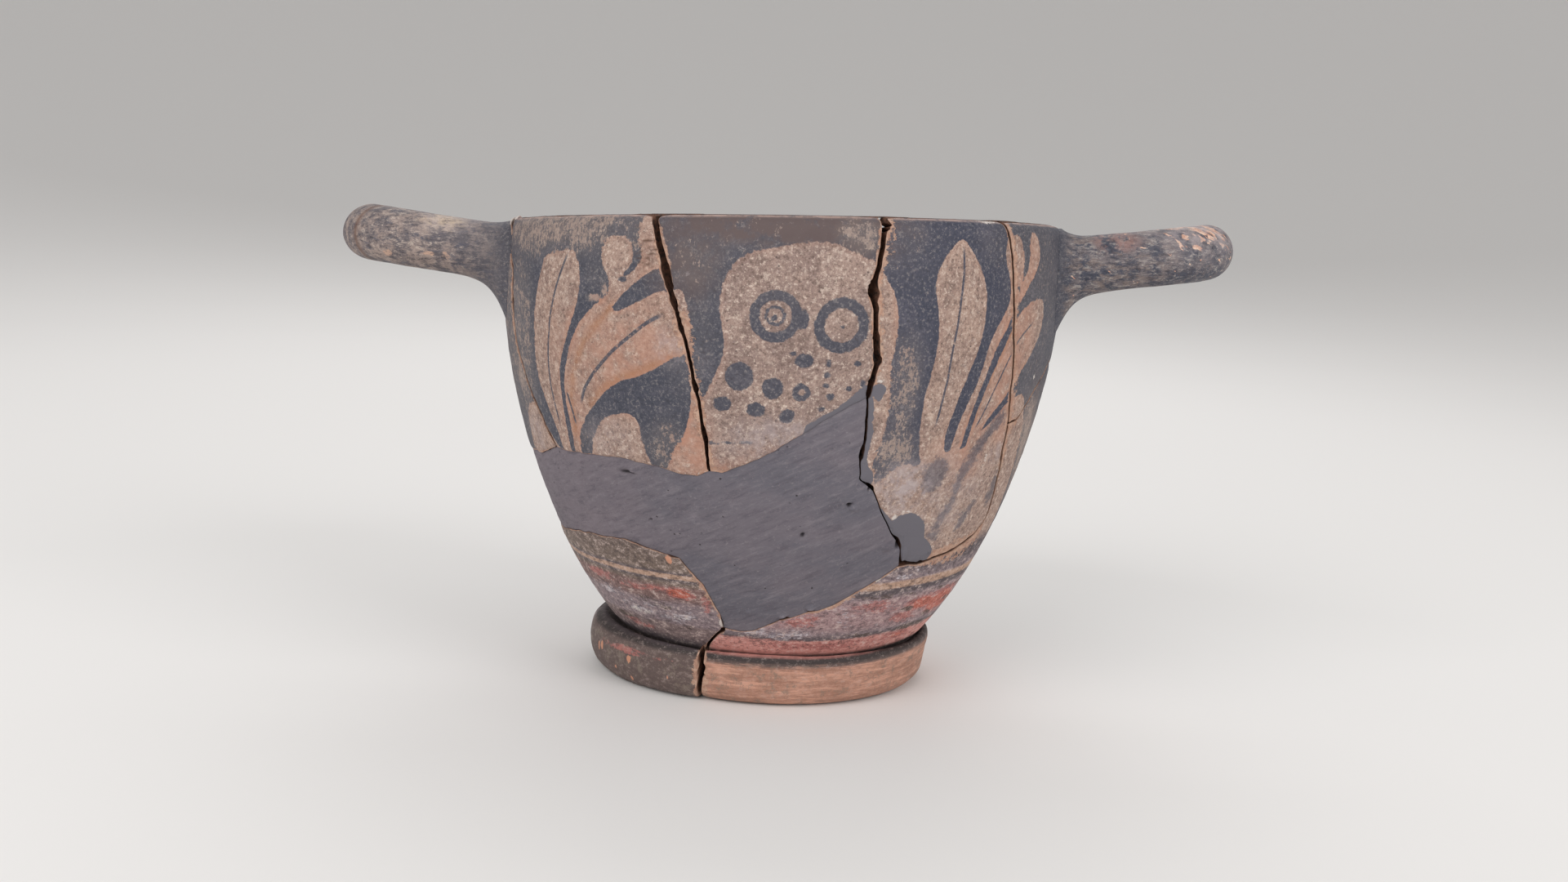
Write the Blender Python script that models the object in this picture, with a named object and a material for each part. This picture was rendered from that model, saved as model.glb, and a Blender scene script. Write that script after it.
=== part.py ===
"""A red-figure skyphos mended from seven sherds and a grey fill, in metres, +Z up, standing on its foot.

The wall is first drawn as a flat disc, the middle of the floor at its centre and the rim at its edge.
The disc is cut along the cracks, and each cut piece is then turned up into the bowl.
"""

import math

import bmesh
import bpy
import numpy as np
from mathutils import Matrix

# Body
HEIGHT = 0.0826
RIM_RADIUS = 0.0500
LOWER_SWELL_RADIUS = 0.0441
UPPER_SWELL_RADIUS = 0.0536
LOWER_SWELL_SHARE = 0.236
UPPER_SWELL_SHARE = 0.737
WAIST_RADIUS = 0.0280
WAIST_HEIGHT = 0.0083
RIM_WALL = 0.0034
WAIST_WALL = 0.0050
LIP_DEPTH = 0.0016
LIP_FLAT = 0.0003
FLOOR_THICKNESS = 0.0050

# Foot
FOOT_TOP_RADIUS = 0.0308
FOOT_TAPER = 0.0017
FOOT_TOP_HEIGHT = 0.0093
FOOT_EDGE_ROUND = 0.0024
REST_WIDTH = 0.0046
RECESS_DEPTH = 0.0045
RECESS_SLOPE = 0.0016

# The left part of the foot was set back proud of the right part, and keeps its rounded face
PROUD_RADIUS = 0.0299
PROUD_BULGE = 0.0034
PROUD_HALF_HEIGHT = 0.0049
PROUD_STEP = 0.0007

# Handles
LEFT_HANDLE_ROD = 0.0104
RIGHT_HANDLE_ROD = 0.0096
HANDLE_SPREAD = 0.0255
LEFT_HANDLE_REACH = 0.0807
RIGHT_HANDLE_REACH = 0.0818
LEFT_HANDLE_DROP = 0.0062
LEFT_HANDLE_RISE = 0.0038
RIGHT_HANDLE_DROP = 0.0069
RIGHT_HANDLE_RISE = 0.0030
ROOT_SPREAD = 0.0005
ROOT_SKIRT = 0.0066
ROOT_FADE = 0.0019
ROOT_BELOW_RIM = 0.0004
ROOT_GRIP = 0.0018

# The throwing and the mending left the vessel a little out of true
LEAN = -0.0093
RIM_TILT = math.radians(-2.45)
SIDE_SHIFT = 0.00020

# Mending
HAIR_GAP = 0.00034
FINE_GAP = 0.00060
OPEN_GAP = 0.00100

# Facets
SPOKES = 60
CRACK_STEP = math.radians(6)
WALL_SHARES = (0.0, 0.06, 0.14, 0.24, 0.36, 0.48, 0.6, 0.72, 0.86)
LIP_SHARES = (0.0, 0.55, 0.85, 1.0)
HANDLE_SIDES = 14
BEND_STEPS = 12

# Cracks in the wall, as (degrees round from the front, share of the way from waist to rim)
CRACK_LEFT = (
    (-70.5, 1.0), (-68.1, 0.92), (-65.9, 0.88), (-65.8, 0.82), (-66.0, 0.76), (-65.3, 0.70),
    (-62.3, 0.635), (-59.1, 0.57), (-56.4, 0.525), (-52.9, 0.472),
)
CRACK_OWL_LEFT = ((-23.8, 1.0), (-19.5, 0.856), (-16.6, 0.74), (-14.3, 0.62), (-12.6, 0.46))
CRACK_OWL_RIGHT = (
    (18.3, 1.0), (17.2, 0.906), (16.3, 0.853), (17.1, 0.81), (17.6, 0.738), (18.3, 0.70), (17.0, 0.631),
)
CRACK_RIGHT = ((45.3, 1.0), (47.2, 0.937), (49.0, 0.805), (52.0, 0.685), (52.8, 0.633), (55.3, 0.559))
CRACK_RIGHT_LOW = (
    (55.3, 0.559), (56.1, 0.51), (60.6, 0.396), (62.6, 0.346), (62.2, 0.316), (59.6, 0.291),
    (51.5, 0.264), (43.5, 0.249), (33.6, 0.243),
)
CRACK_BELOW_HANDLE = (
    (55.3, 0.559), (59.0, 0.564), (65.8, 0.631), (75.6, 0.689), (85.9, 0.669), (100.8, 0.575),
    (120.3, 0.494), (143.2, 0.44), (171.9, 0.467),
)
CRACK_BACK = ((171.9, 1.0), (168.4, 0.857), (173.0, 0.709), (169.6, 0.588), (171.9, 0.467))
CRACK_BACK_LOW = ((-188.1, 0.467), (-171.9, 0.427), (-150.1, 0.386))
CRACK_LEFT_LOW = ((-150.1, 0.386), (-135.2, 0.379), (-116.9, 0.359))
CRACK_REAR = ((-150.1, 0.386), (-152.4, 0.265), (-149.0, 0.13), (-151.3, 0.0))
CRACK_FRONT = ((-12.5, 0.075), (-16.4, 0.046), (-19.6, 0.021), (-20.6, 0.0))
FILL_UNDER_HANDLE = ((-116.9, 0.359), (-100.8, 0.406), (-80.2, 0.433), (-62.7, 0.444), (-52.9, 0.472))
FILL_UNDER_LEAVES = (
    (-52.9, 0.472), (-49.2, 0.466), (-32.4, 0.471), (-25.2, 0.464), (-18.6, 0.448), (-15.1, 0.448), (-12.6, 0.46),
)
FILL_UNDER_OWL = ((-12.6, 0.46), (-10.1, 0.458), (-2.6, 0.493), (4.8, 0.545), (11.1, 0.595), (17.0, 0.631))
FILL_RIGHT = (
    (17.0, 0.631), (17.5, 0.541), (17.1, 0.491), (17.8, 0.452), (20.9, 0.433), (23.5, 0.385),
    (28.0, 0.327), (32.2, 0.287), (33.6, 0.243),
)
FILL_BOTTOM_LEFT = (
    (-116.9, 0.359), (-105.4, 0.278), (-89.4, 0.241), (-71.0, 0.242), (-57.3, 0.262), (-37.1, 0.274),
    (-21.7, 0.245), (-16.5, 0.187), (-13.1, 0.111), (-12.5, 0.075),
)
FILL_BOTTOM_RIGHT = (
    (-12.5, 0.075), (-7.3, 0.068), (-3.1, 0.076), (3.6, 0.106), (17.6, 0.146), (29.0, 0.211), (33.6, 0.243),
)

# The crack through the foot and the floor, as (degrees round from the front, share of the way from axis to waist)
CRACK_BASE = (
    (-20.6, 1.0), (-20.6, 0.93), (-21.2, 0.83), (-22.6, 0.70), (-24.2, 0.58), (-26.5, 0.50), (-38.0, 0.40),
    (-60.0, 0.32), (-88.0, 0.29), (-114.0, 0.32), (-136.0, 0.41), (-146.0, 0.50), (-149.0, 0.60),
    (-150.2, 0.80), (-151.3, 1.0),
)


def clear_scene():
    for obj in list(bpy.data.objects):
        bpy.data.objects.remove(obj, do_unlink=True)


def wall_curve(t):
    """Radius and height of the outer wall at t, a cubic curve from the waist to the rim."""
    rise = HEIGHT - WAIST_HEIGHT
    points = np.array(
        [
            (WAIST_RADIUS, WAIST_HEIGHT),
            (LOWER_SWELL_RADIUS, WAIST_HEIGHT + LOWER_SWELL_SHARE * rise),
            (UPPER_SWELL_RADIUS, WAIST_HEIGHT + UPPER_SWELL_SHARE * rise),
            (RIM_RADIUS, HEIGHT),
        ]
    )
    t = np.asarray(t, float)[:, None]
    weights = ((1 - t) ** 3, 3 * t * (1 - t) ** 2, 3 * t**2 * (1 - t), t**3)
    return sum(weight * point for weight, point in zip(weights, points))


def wall_at(share):
    """Radius and height of the outer wall at a share of the way up from the waist to the rim."""
    t = np.linspace(0, 1, 400)
    curve = wall_curve(t)
    height = WAIST_HEIGHT + np.asarray(share, float) * (HEIGHT - WAIST_HEIGHT)
    return wall_curve(np.interp(height, curve[:, 1], t))


def wall_radius(height):
    share = (np.asarray(height, float) - WAIST_HEIGHT) / (HEIGHT - WAIST_HEIGHT)
    return wall_at(np.clip(np.atleast_1d(share), 0, 1))[:, 0]


def wall_shares():
    lip = LIP_DEPTH / (HEIGHT - WAIST_HEIGHT)
    body = [share * (1 - lip) for share in WALL_SHARES]
    return np.array(body + [1 - lip + lip * share for share in LIP_SHARES])


def wall_normals(shares):
    step = 1e-3
    low = wall_at(np.clip(shares - step, 0, 1))
    high = wall_at(np.clip(shares + step, 0, 1))
    tangent = (high - low) / np.linalg.norm(high - low, axis=1)[:, None]
    return np.stack([tangent[:, 1], -tangent[:, 0]], axis=1)


def wall_rings():
    """The outer and the inner ring points of the wall, waist to lip. The two draw together over the lip."""
    shares = wall_shares()
    outer = wall_at(shares)
    thickness = WAIST_WALL + (RIM_WALL - WAIST_WALL) * shares
    inner = outer - wall_normals(shares) * thickness[:, None]
    into_lip = np.clip((outer[:, 1] - HEIGHT + LIP_DEPTH) / LIP_DEPTH, 0, 1)
    inner[:, 1] += (outer[:, 1] - inner[:, 1]) * into_lip
    half = (outer[:, 0] - inner[:, 0]) / 2
    drawn_in = (half - LIP_FLAT / 2) * (1 - np.sqrt(1 - into_lip**2))
    outer[:, 0] -= drawn_in
    inner[:, 0] += drawn_in
    return outer, inner


def foot_face(heights):
    """Radius of the worn, straight face of the foot, with its lower edge rounded."""
    taper = FOOT_TAPER * (1 - heights / FOOT_TOP_HEIGHT)
    edge = np.clip(1 - heights / FOOT_EDGE_ROUND, 0, 1)
    return FOOT_TOP_RADIUS - taper - FOOT_EDGE_ROUND * (1 - np.sqrt(1 - edge**2))


def proud_face(heights):
    """Radius of the rounded face that the left part of the foot keeps."""
    away = np.clip((heights - PROUD_HALF_HEIGHT) / PROUD_HALF_HEIGHT, -1, 1)
    return PROUD_RADIUS + PROUD_BULGE * np.sqrt(1 - 0.9 * away**2)


RECESS_SHARES = (0.0, 0.4, 0.72, 1.0)
FLOOR_OVER_RECESS = 0.8
FOOT_FACE_HEIGHTS = np.array([0.0, 0.06, 0.2, 0.45, 0.75, 0.93]) * FOOT_TOP_HEIGHT


def base_rings():
    """The ring points below the waist: the underside and the foot outside, the floor inside."""
    face = foot_face(FOOT_FACE_HEIGHTS)
    rest_outer = face[0]
    rest_inner = rest_outer - REST_WIDTH
    recess = rest_inner - RECESS_SLOPE
    underside = [(part * recess, RECESS_DEPTH) for part in RECESS_SHARES]
    resting = [(rest_inner, 0.0)]
    outside = list(zip(face, FOOT_FACE_HEIGHTS))
    top = [(FOOT_TOP_RADIUS - 0.4 * (FOOT_TOP_RADIUS - WAIST_RADIUS), FOOT_TOP_HEIGHT)]
    outer = np.array(underside + resting + outside + top)
    along = np.concatenate([[0], np.cumsum(np.linalg.norm(np.diff(outer, axis=0), axis=1))])
    to_waist = math.hypot(outer[-1, 0] - WAIST_RADIUS, outer[-1, 1] - WAIST_HEIGHT)
    stations = (0, along[len(underside) - 1], along[-1] + to_waist)
    share = np.interp(along, stations, (0, FLOOR_OVER_RECESS, 1))
    waist = wall_rings()[1][0]
    floor = RECESS_DEPTH + FLOOR_THICKNESS
    rise = waist[1] - floor
    inner = np.stack([share * waist[0], floor + rise * share**4], axis=1)
    return outer, inner


def all_rings():
    base_outer, base_inner = base_rings()
    outer, inner = wall_rings()
    return np.concatenate([base_outer, outer]), np.concatenate([base_inner, inner])


OUTER_RINGS, INNER_RINGS = all_rings()
DISC_RADII = np.concatenate([[0], np.cumsum(np.linalg.norm(np.diff(OUTER_RINGS, axis=0), axis=1))])
WAIST_RING = len(base_rings()[0])
REST_INNER_RING = len(RECESS_SHARES)
REST_INNER_DISC, REST_OUTER_DISC = DISC_RADII[REST_INNER_RING : REST_INNER_RING + 2]
FOOT_TOP_DISC, WAIST_DISC = DISC_RADII[WAIST_RING - 1 : WAIST_RING + 1]
DISC_EDGE = DISC_RADII[-1] * 1.08
SLAB = 0.010


def on_wall(points):
    """Cracks in the wall as (angle, radius on the disc)."""
    degrees, shares = np.array(points).T
    radii = np.interp(shares, wall_shares(), DISC_RADII[WAIST_RING:])
    radii = np.where(shares >= 1, DISC_EDGE, radii)
    return np.stack([np.radians(degrees), radii], axis=1)


def on_base(points):
    degrees, shares = np.array(points).T
    return np.stack([np.radians(degrees), shares * WAIST_DISC], axis=1)


def rim_between(start, end):
    """Points beyond the rim, so that a piece keeps the whole lip."""
    start, end = math.radians(start), math.radians(end)
    count = max(2, int(abs(end - start) / CRACK_STEP) + 1)
    angles = np.linspace(start, end, count)
    return np.stack([angles, np.full(count, DISC_EDGE)], axis=1)


def closely(points):
    """The line with a point at least every CRACK_STEP, so that long stretches follow the wall round."""
    rows = [points[0]]
    for start, end in zip(points[:-1], points[1:]):
        count = max(1, math.ceil(abs(end[0] - start[0]) / CRACK_STEP))
        rows += [start + (end - start) * k / count for k in range(1, count + 1)]
    return np.array(rows)


def outline(*edges):
    """One closed line, and the half gap at each of its points, from edges given as (points, gap)."""
    rows, gaps = [], []
    for points, gap in edges:
        line = closely(points)
        rows += list(line[:-1])
        gaps += [gap / 2] * (len(line) - 1)
    return np.array(rows), np.array(gaps)


def true_scale(rows):
    """How wide one radian is on the outer face at each point."""
    radii = np.interp(rows[:, 1], DISC_RADII, OUTER_RINGS[:, 0])
    on_floor = rows[:, 1] < WAIST_DISC
    floor = np.interp(rows[:, 1], DISC_RADII, INNER_RINGS[:, 0])
    return np.where(on_floor, np.maximum(floor, 0.002), radii)


def drawn_in(rows, gaps):
    """The outline moved inwards by half of each crack's width, with its corners mitred."""
    scale = true_scale(rows)
    before, after = np.roll(rows, 1, axis=0), np.roll(rows, -1, axis=0)
    flat = rows[:, 1:] * np.stack([np.sin(rows[:, 0]), np.cos(rows[:, 0])], axis=1)
    area = np.sum(flat[:, 0] * np.roll(flat[:, 1], -1) - flat[:, 1] * np.roll(flat[:, 0], -1))
    turn = 1 if area > 0 else -1

    def inward(first, second):
        step = (second - first) * np.stack([scale, np.ones(len(scale))], axis=1)
        step /= np.linalg.norm(step, axis=1)[:, None]
        return turn * np.stack([-step[:, 1], step[:, 0]], axis=1)

    one, two = inward(before, rows), inward(rows, after)
    middle = (one + two) / np.linalg.norm(one + two, axis=1)[:, None]
    stretch = 1 / np.clip(np.sum(middle * one, axis=1), 0.45, 1)
    widest = np.maximum(gaps, np.roll(gaps, 1))
    move = middle * (widest * stretch)[:, None]
    return rows + move / np.stack([scale, np.ones(len(scale))], axis=1)


def disc_points(rows):
    return [(radius * math.sin(angle), -radius * math.cos(angle)) for angle, radius in rows]


def new_object(name, mesh):
    obj = bpy.data.objects.new(name, mesh)
    bpy.context.scene.collection.objects.link(obj)
    return obj


def as_guide(obj):
    obj.hide_render = True
    obj.display_type = "WIRE"
    return obj


def disc_slab():
    """The flat wall: a line of ring points spun round the centre and given a depth."""
    bm = bmesh.new()
    line = [bm.verts.new((0, -radius, 0)) for radius in DISC_RADII]
    edges = [bm.edges.new(pair) for pair in zip(line[:-1], line[1:])]
    bmesh.ops.spin(
        bm,
        geom=line + edges,
        cent=(0, 0, 0),
        axis=(0, 0, 1),
        angle=math.tau,
        steps=SPOKES,
        use_merge=True,
    )
    bmesh.ops.remove_doubles(bm, verts=bm.verts, dist=1e-6)
    raised = bmesh.ops.extrude_face_region(bm, geom=bm.faces[:])
    top = [item for item in raised["geom"] if isinstance(item, bmesh.types.BMVert)]
    bmesh.ops.translate(bm, verts=top, vec=(0, 0, SLAB))
    bmesh.ops.recalc_face_normals(bm, faces=bm.faces)
    mesh = bpy.data.meshes.new("disc_slab")
    bm.to_mesh(mesh)
    bm.free()
    return as_guide(new_object("disc_slab", mesh))


def outline_prism(name, rows):
    """The sherd's outline drawn up through the slab."""
    bm = bmesh.new()
    corners = [bm.verts.new((x, y, -SLAB)) for x, y in disc_points(rows)]
    face = bm.faces.new(corners)
    raised = bmesh.ops.extrude_face_region(bm, geom=[face])
    top = [item for item in raised["geom"] if isinstance(item, bmesh.types.BMVert)]
    bmesh.ops.translate(bm, verts=top, vec=(0, 0, 3 * SLAB))
    bmesh.ops.recalc_face_normals(bm, faces=bm.faces)
    mesh = bpy.data.meshes.new(name)
    bm.to_mesh(mesh)
    bm.free()
    return as_guide(new_object(name, mesh))


def cut_from_slab(name, slab, rows):
    """The part of the flat wall inside an outline, as a mesh of its own."""
    prism = outline_prism(name + "_outline", rows)
    piece = new_object(name, slab.data.copy())
    cut = piece.modifiers.new("Along the cracks", "BOOLEAN")
    cut.operation = "INTERSECT"
    cut.solver = "EXACT"
    cut.object = prism
    bpy.context.view_layer.update()
    graph = bpy.context.evaluated_depsgraph_get()
    mesh = bpy.data.meshes.new_from_object(piece.evaluated_get(graph))
    bpy.data.objects.remove(piece, do_unlink=True)
    bpy.data.objects.remove(prism, do_unlink=True)
    return mesh


def proudness(angles):
    """How far the left part of the foot keeps its rounded face, none at its two cracks."""
    start, end = math.radians(CRACK_FRONT[-1][0]), math.radians(CRACK_REAR[-1][0])
    return np.sin(np.pi * np.clip((angles - start) / (end - start), 0, 1))


def swelled(angles, radii, heights, discs):
    """The left part of the foot, whose outer face stands proud between the ground and the waist."""
    worn = foot_face(np.clip(heights, 0, FOOT_TOP_HEIGHT))
    growth = PROUD_STEP + (proud_face(heights) - worn - PROUD_STEP) * proudness(angles)
    stations = (REST_INNER_DISC, REST_OUTER_DISC, FOOT_TOP_DISC, WAIST_DISC)
    return radii + growth * np.interp(discs, stations, (0, 1, 1, 0))


def settled(points):
    """Applies the vessel's lean and its tilted rim."""
    x, y, z = points.T
    share = np.clip((z - WAIST_HEIGHT) / (HEIGHT - WAIST_HEIGHT), 0, 1.05)
    tilted = z - math.tan(RIM_TILT) * x * share
    return np.stack([x + LEAN * z + SIDE_SHIFT, y, tilted], axis=1)


def turned_up(mesh, proud=False):
    """Turns a flat piece up into the bowl: the slab's lower face is the outside, its upper face the inside."""
    flat = np.empty(len(mesh.vertices) * 3, np.float32)
    mesh.vertices.foreach_get("co", flat)
    x, y, z = flat.reshape(-1, 3).astype(float).T
    angles, discs = np.arctan2(x, -y), np.hypot(x, y)
    outside = z < SLAB / 2
    radii = np.where(
        outside,
        np.interp(discs, DISC_RADII, OUTER_RINGS[:, 0]),
        np.interp(discs, DISC_RADII, INNER_RINGS[:, 0]),
    )
    heights = np.where(
        outside,
        np.interp(discs, DISC_RADII, OUTER_RINGS[:, 1]),
        np.interp(discs, DISC_RADII, INNER_RINGS[:, 1]),
    )
    if proud:
        radii = np.where(outside, swelled(angles, radii, heights, discs), radii)
    points = settled(np.stack([radii * np.sin(angles), -radii * np.cos(angles), heights], axis=1))
    mesh.vertices.foreach_set("co", points.astype(np.float32).ravel())
    mesh.update()
    return mesh


def rounded_off(obj, sharp=math.radians(35)):
    obj.data.shade_smooth()
    obj.data.set_sharp_from_angle(angle=sharp)


def dressed(obj, colour, roughness):
    material = bpy.data.materials.new(obj.name)
    material.use_nodes = True
    shader = material.node_tree.nodes["Principled BSDF"]
    shader.inputs["Base Color"].default_value = (*colour, 1)
    shader.inputs["Roughness"].default_value = roughness
    shader.inputs["Metallic"].default_value = 0
    material.diffuse_color = (*colour, 1)
    obj.data.materials.clear()
    obj.data.materials.append(material)


def handle_stations():
    """Shares of one limb, closest together at the wall, then angles round the bend."""
    shares = np.array([0.0, 0.05, 0.12, 0.22, 0.38, 0.62, 1.0])
    return shares, np.linspace(0, np.pi, BEND_STEPS + 1)[1:-1]


def limb_ring(rod, distance, side, centre_height):
    """One ring of a limb. Near the wall it follows the wall round and spreads into it."""
    turn = np.linspace(0, math.tau, HANDLE_SIDES, endpoint=False)
    flare = math.exp(-max(distance, 0) / ROOT_FADE)
    across = rod / 2 + ROOT_SPREAD * flare
    below = rod / 2 + ROOT_SKIRT * flare
    to_rim = HEIGHT - ROOT_BELOW_RIM - centre_height - rod / 2
    above = rod / 2 + to_rim * flare
    y = side * (HANDLE_SPREAD / 2 - across * np.cos(turn))
    z = centre_height + np.where(np.sin(turn) > 0, above, below) * np.sin(turn)
    on_wall_x = np.sqrt(wall_radius(z) ** 2 - y**2)
    middle = math.sqrt(float(wall_radius(centre_height)[0]) ** 2 - (HANDLE_SPREAD / 2) ** 2)
    follow = math.exp(-max(distance, 0) / (2 * ROOT_FADE))
    x = follow * on_wall_x + (1 - follow) * middle + distance
    return np.stack([x, y, z], axis=1)


def bend_ring(rod, angle, centre_x, centre_height):
    """One ring of the round end of the handle."""
    turn = np.linspace(0, math.tau, HANDLE_SIDES, endpoint=False)
    out = HANDLE_SPREAD / 2 - rod / 2 * np.cos(turn)
    x = centre_x + out * math.sin(angle)
    y = -out * math.cos(angle)
    z = centre_height + rod / 2 * np.sin(turn)
    return np.stack([x, y, z], axis=1)


def handle_rings(rod, whole_reach, drop, rise):
    """The rings of a horizontal loop, front root to back root, for a handle on the +X side."""
    root_height = HEIGHT - drop
    shares, bends = handle_stations()
    middle = math.sqrt(float(wall_radius(root_height)[0]) ** 2 - (HANDLE_SPREAD / 2) ** 2)
    reach = whole_reach - rod / 2 - middle
    limb = reach - HANDLE_SPREAD / 2
    distances = np.concatenate([[-ROOT_GRIP], shares * limb])

    def height(out):
        return root_height + rise * max(out, 0) / reach

    front = [limb_ring(rod, d, -1, height(d)) for d in distances]
    centre = middle + limb
    end = [
        bend_ring(rod, a, centre, height(limb + HANDLE_SPREAD / 2 * math.sin(a)))
        for a in bends
    ]
    back = [limb_ring(rod, d, 1, height(d)) for d in distances[::-1]]
    return front + end + back


def handle_guide(name, side, rings):
    """One handle as a closed loop of rings, with its two ends inside the wall."""
    bm = bmesh.new()
    loops = []
    for ring in rings:
        ring[:, 0] *= side
        loops.append([bm.verts.new(point) for point in settled(ring)])
    for first, second in zip(loops[:-1], loops[1:]):
        for k in range(HANDLE_SIDES):
            after = (k + 1) % HANDLE_SIDES
            bm.faces.new((first[k], first[after], second[after], second[k]))
    bm.faces.new(loops[0])
    bm.faces.new(loops[-1])
    bmesh.ops.recalc_face_normals(bm, faces=bm.faces)
    mesh = bpy.data.meshes.new(name)
    bm.to_mesh(mesh)
    bm.free()
    return as_guide(new_object(name, mesh))


def join_handle(sherd, handle):
    join = sherd.modifiers.new("Handle", "BOOLEAN")
    join.operation = "UNION"
    join.solver = "EXACT"
    join.object = handle
    handle.parent = sherd
    handle.matrix_parent_inverse = Matrix.Identity(4)


def sherd_outlines():
    """Each piece's outline: its edges in order, each with the width of the gap along it."""
    left = on_wall(CRACK_LEFT)
    owl_left, owl_right = on_wall(CRACK_OWL_LEFT), on_wall(CRACK_OWL_RIGHT)
    right, right_low = on_wall(CRACK_RIGHT), on_wall(CRACK_RIGHT_LOW)
    under_handle, back = on_wall(CRACK_BELOW_HANDLE), on_wall(CRACK_BACK)
    back_low, left_low = on_wall(CRACK_BACK_LOW), on_wall(CRACK_LEFT_LOW)
    front, rear, base = on_wall(CRACK_FRONT), on_wall(CRACK_REAR), on_base(CRACK_BASE)
    fill_handle, fill_leaves = on_wall(FILL_UNDER_HANDLE), on_wall(FILL_UNDER_LEAVES)
    fill_owl, fill_right = on_wall(FILL_UNDER_OWL), on_wall(FILL_RIGHT)
    fill_bottom_left, fill_bottom_right = on_wall(FILL_BOTTOM_LEFT), on_wall(FILL_BOTTOM_RIGHT)
    left_top, owl_left_top = CRACK_LEFT[0][0], CRACK_OWL_LEFT[0][0]
    owl_right_top, right_top = CRACK_OWL_RIGHT[0][0], CRACK_RIGHT[0][0]
    back_top = CRACK_BACK[0][0]
    back_from_left = back - np.array([math.tau, 0])
    return {
        "left_handle_sherd": (
            (rim_between(back_top - 360, left_top), 0),
            (left, HAIR_GAP),
            (fill_handle[::-1], HAIR_GAP),
            (left_low[::-1], HAIR_GAP),
            (back_low[::-1], HAIR_GAP),
            (back_from_left[::-1], HAIR_GAP),
        ),
        "left_leaf_sherd": (
            (rim_between(left_top, owl_left_top), 0),
            (owl_left, FINE_GAP),
            (fill_leaves[::-1], HAIR_GAP),
            (left[::-1], HAIR_GAP),
        ),
        "owl_sherd": (
            (rim_between(owl_left_top, owl_right_top), 0),
            (owl_right, OPEN_GAP),
            (fill_owl[::-1], HAIR_GAP),
            (owl_left[::-1], FINE_GAP),
        ),
        "right_leaf_sherd": (
            (rim_between(owl_right_top, right_top), 0),
            (right, HAIR_GAP),
            (right_low, FINE_GAP),
            (fill_right[::-1], HAIR_GAP),
            (owl_right[::-1], OPEN_GAP),
        ),
        "right_handle_sherd": (
            (rim_between(right_top, back_top), 0),
            (back, HAIR_GAP),
            (under_handle[::-1], HAIR_GAP),
            (right[::-1], HAIR_GAP),
        ),
        "left_foot_sherd": (
            (fill_bottom_left, HAIR_GAP),
            (front, FINE_GAP),
            (base, FINE_GAP),
            (rear[::-1], FINE_GAP),
            (left_low, HAIR_GAP),
        ),
        "right_foot_sherd": (
            (fill_bottom_right, HAIR_GAP),
            (right_low[::-1], FINE_GAP),
            (under_handle, HAIR_GAP),
            (back_low, HAIR_GAP),
            (rear, FINE_GAP),
            (base[::-1], FINE_GAP),
            (front[::-1], FINE_GAP),
        ),
        "grey_fill": (
            (fill_handle, HAIR_GAP),
            (fill_leaves, HAIR_GAP),
            (fill_owl, HAIR_GAP),
            (fill_right, HAIR_GAP),
            (fill_bottom_right[::-1], HAIR_GAP),
            (fill_bottom_left[::-1], HAIR_GAP),
        ),
    }


GLAZE = (0.075, 0.072, 0.085)
TAN_CLAY = (0.38, 0.25, 0.17)
ORANGE_CLAY = (0.45, 0.24, 0.13)
FILL_GREY = (0.125, 0.115, 0.125)
COLOURS = {
    "left_handle_sherd": (GLAZE, 0.55),
    "left_leaf_sherd": (TAN_CLAY, 0.65),
    "owl_sherd": (TAN_CLAY, 0.65),
    "right_leaf_sherd": (TAN_CLAY, 0.65),
    "right_handle_sherd": (GLAZE, 0.55),
    "left_foot_sherd": (GLAZE, 0.6),
    "right_foot_sherd": (ORANGE_CLAY, 0.7),
    "grey_fill": (FILL_GREY, 0.8),
}


def build_skyphos():
    clear_scene()
    slab = disc_slab()
    pieces = {}
    for name, edges in sherd_outlines().items():
        rows, gaps = outline(*edges)
        flat = cut_from_slab(name, slab, drawn_in(rows, gaps))
        pieces[name] = new_object(name, turned_up(flat, proud=name == "left_foot_sherd"))
        rounded_off(pieces[name])
        dressed(pieces[name], *COLOURS[name])
    bpy.data.objects.remove(slab, do_unlink=True)
    left_rings = handle_rings(
        LEFT_HANDLE_ROD, LEFT_HANDLE_REACH, LEFT_HANDLE_DROP, LEFT_HANDLE_RISE
    )
    right_rings = handle_rings(
        RIGHT_HANDLE_ROD, RIGHT_HANDLE_REACH, RIGHT_HANDLE_DROP, RIGHT_HANDLE_RISE
    )
    left_handle = handle_guide("left_handle", -1, left_rings)
    right_handle = handle_guide("right_handle", 1, right_rings)
    join_handle(pieces["left_handle_sherd"], left_handle)
    join_handle(pieces["right_handle_sherd"], right_handle)


build_skyphos()
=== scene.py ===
"""Looks of a red-figure skyphos mended from seven sherds and a plaster fill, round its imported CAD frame.

The wall is drawn unrolled, in millimetres. One axis is the arc: the angle round the vessel from the front,
times the rim's radius. The other is the station: the length along the outer profile, from the middle of the
underside out to the foot, up the wall and to the lip. Each sherd is a grid on that plane, trimmed to its
cracks, doubled through the wall's thickness and closed with rough fracture faces.
"""

from __future__ import annotations

import logging
import math
import sys
from dataclasses import dataclass, field
from enum import Enum
from itertools import product

import bpy
import numpy as np
from mathutils import Matrix, Vector

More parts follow.
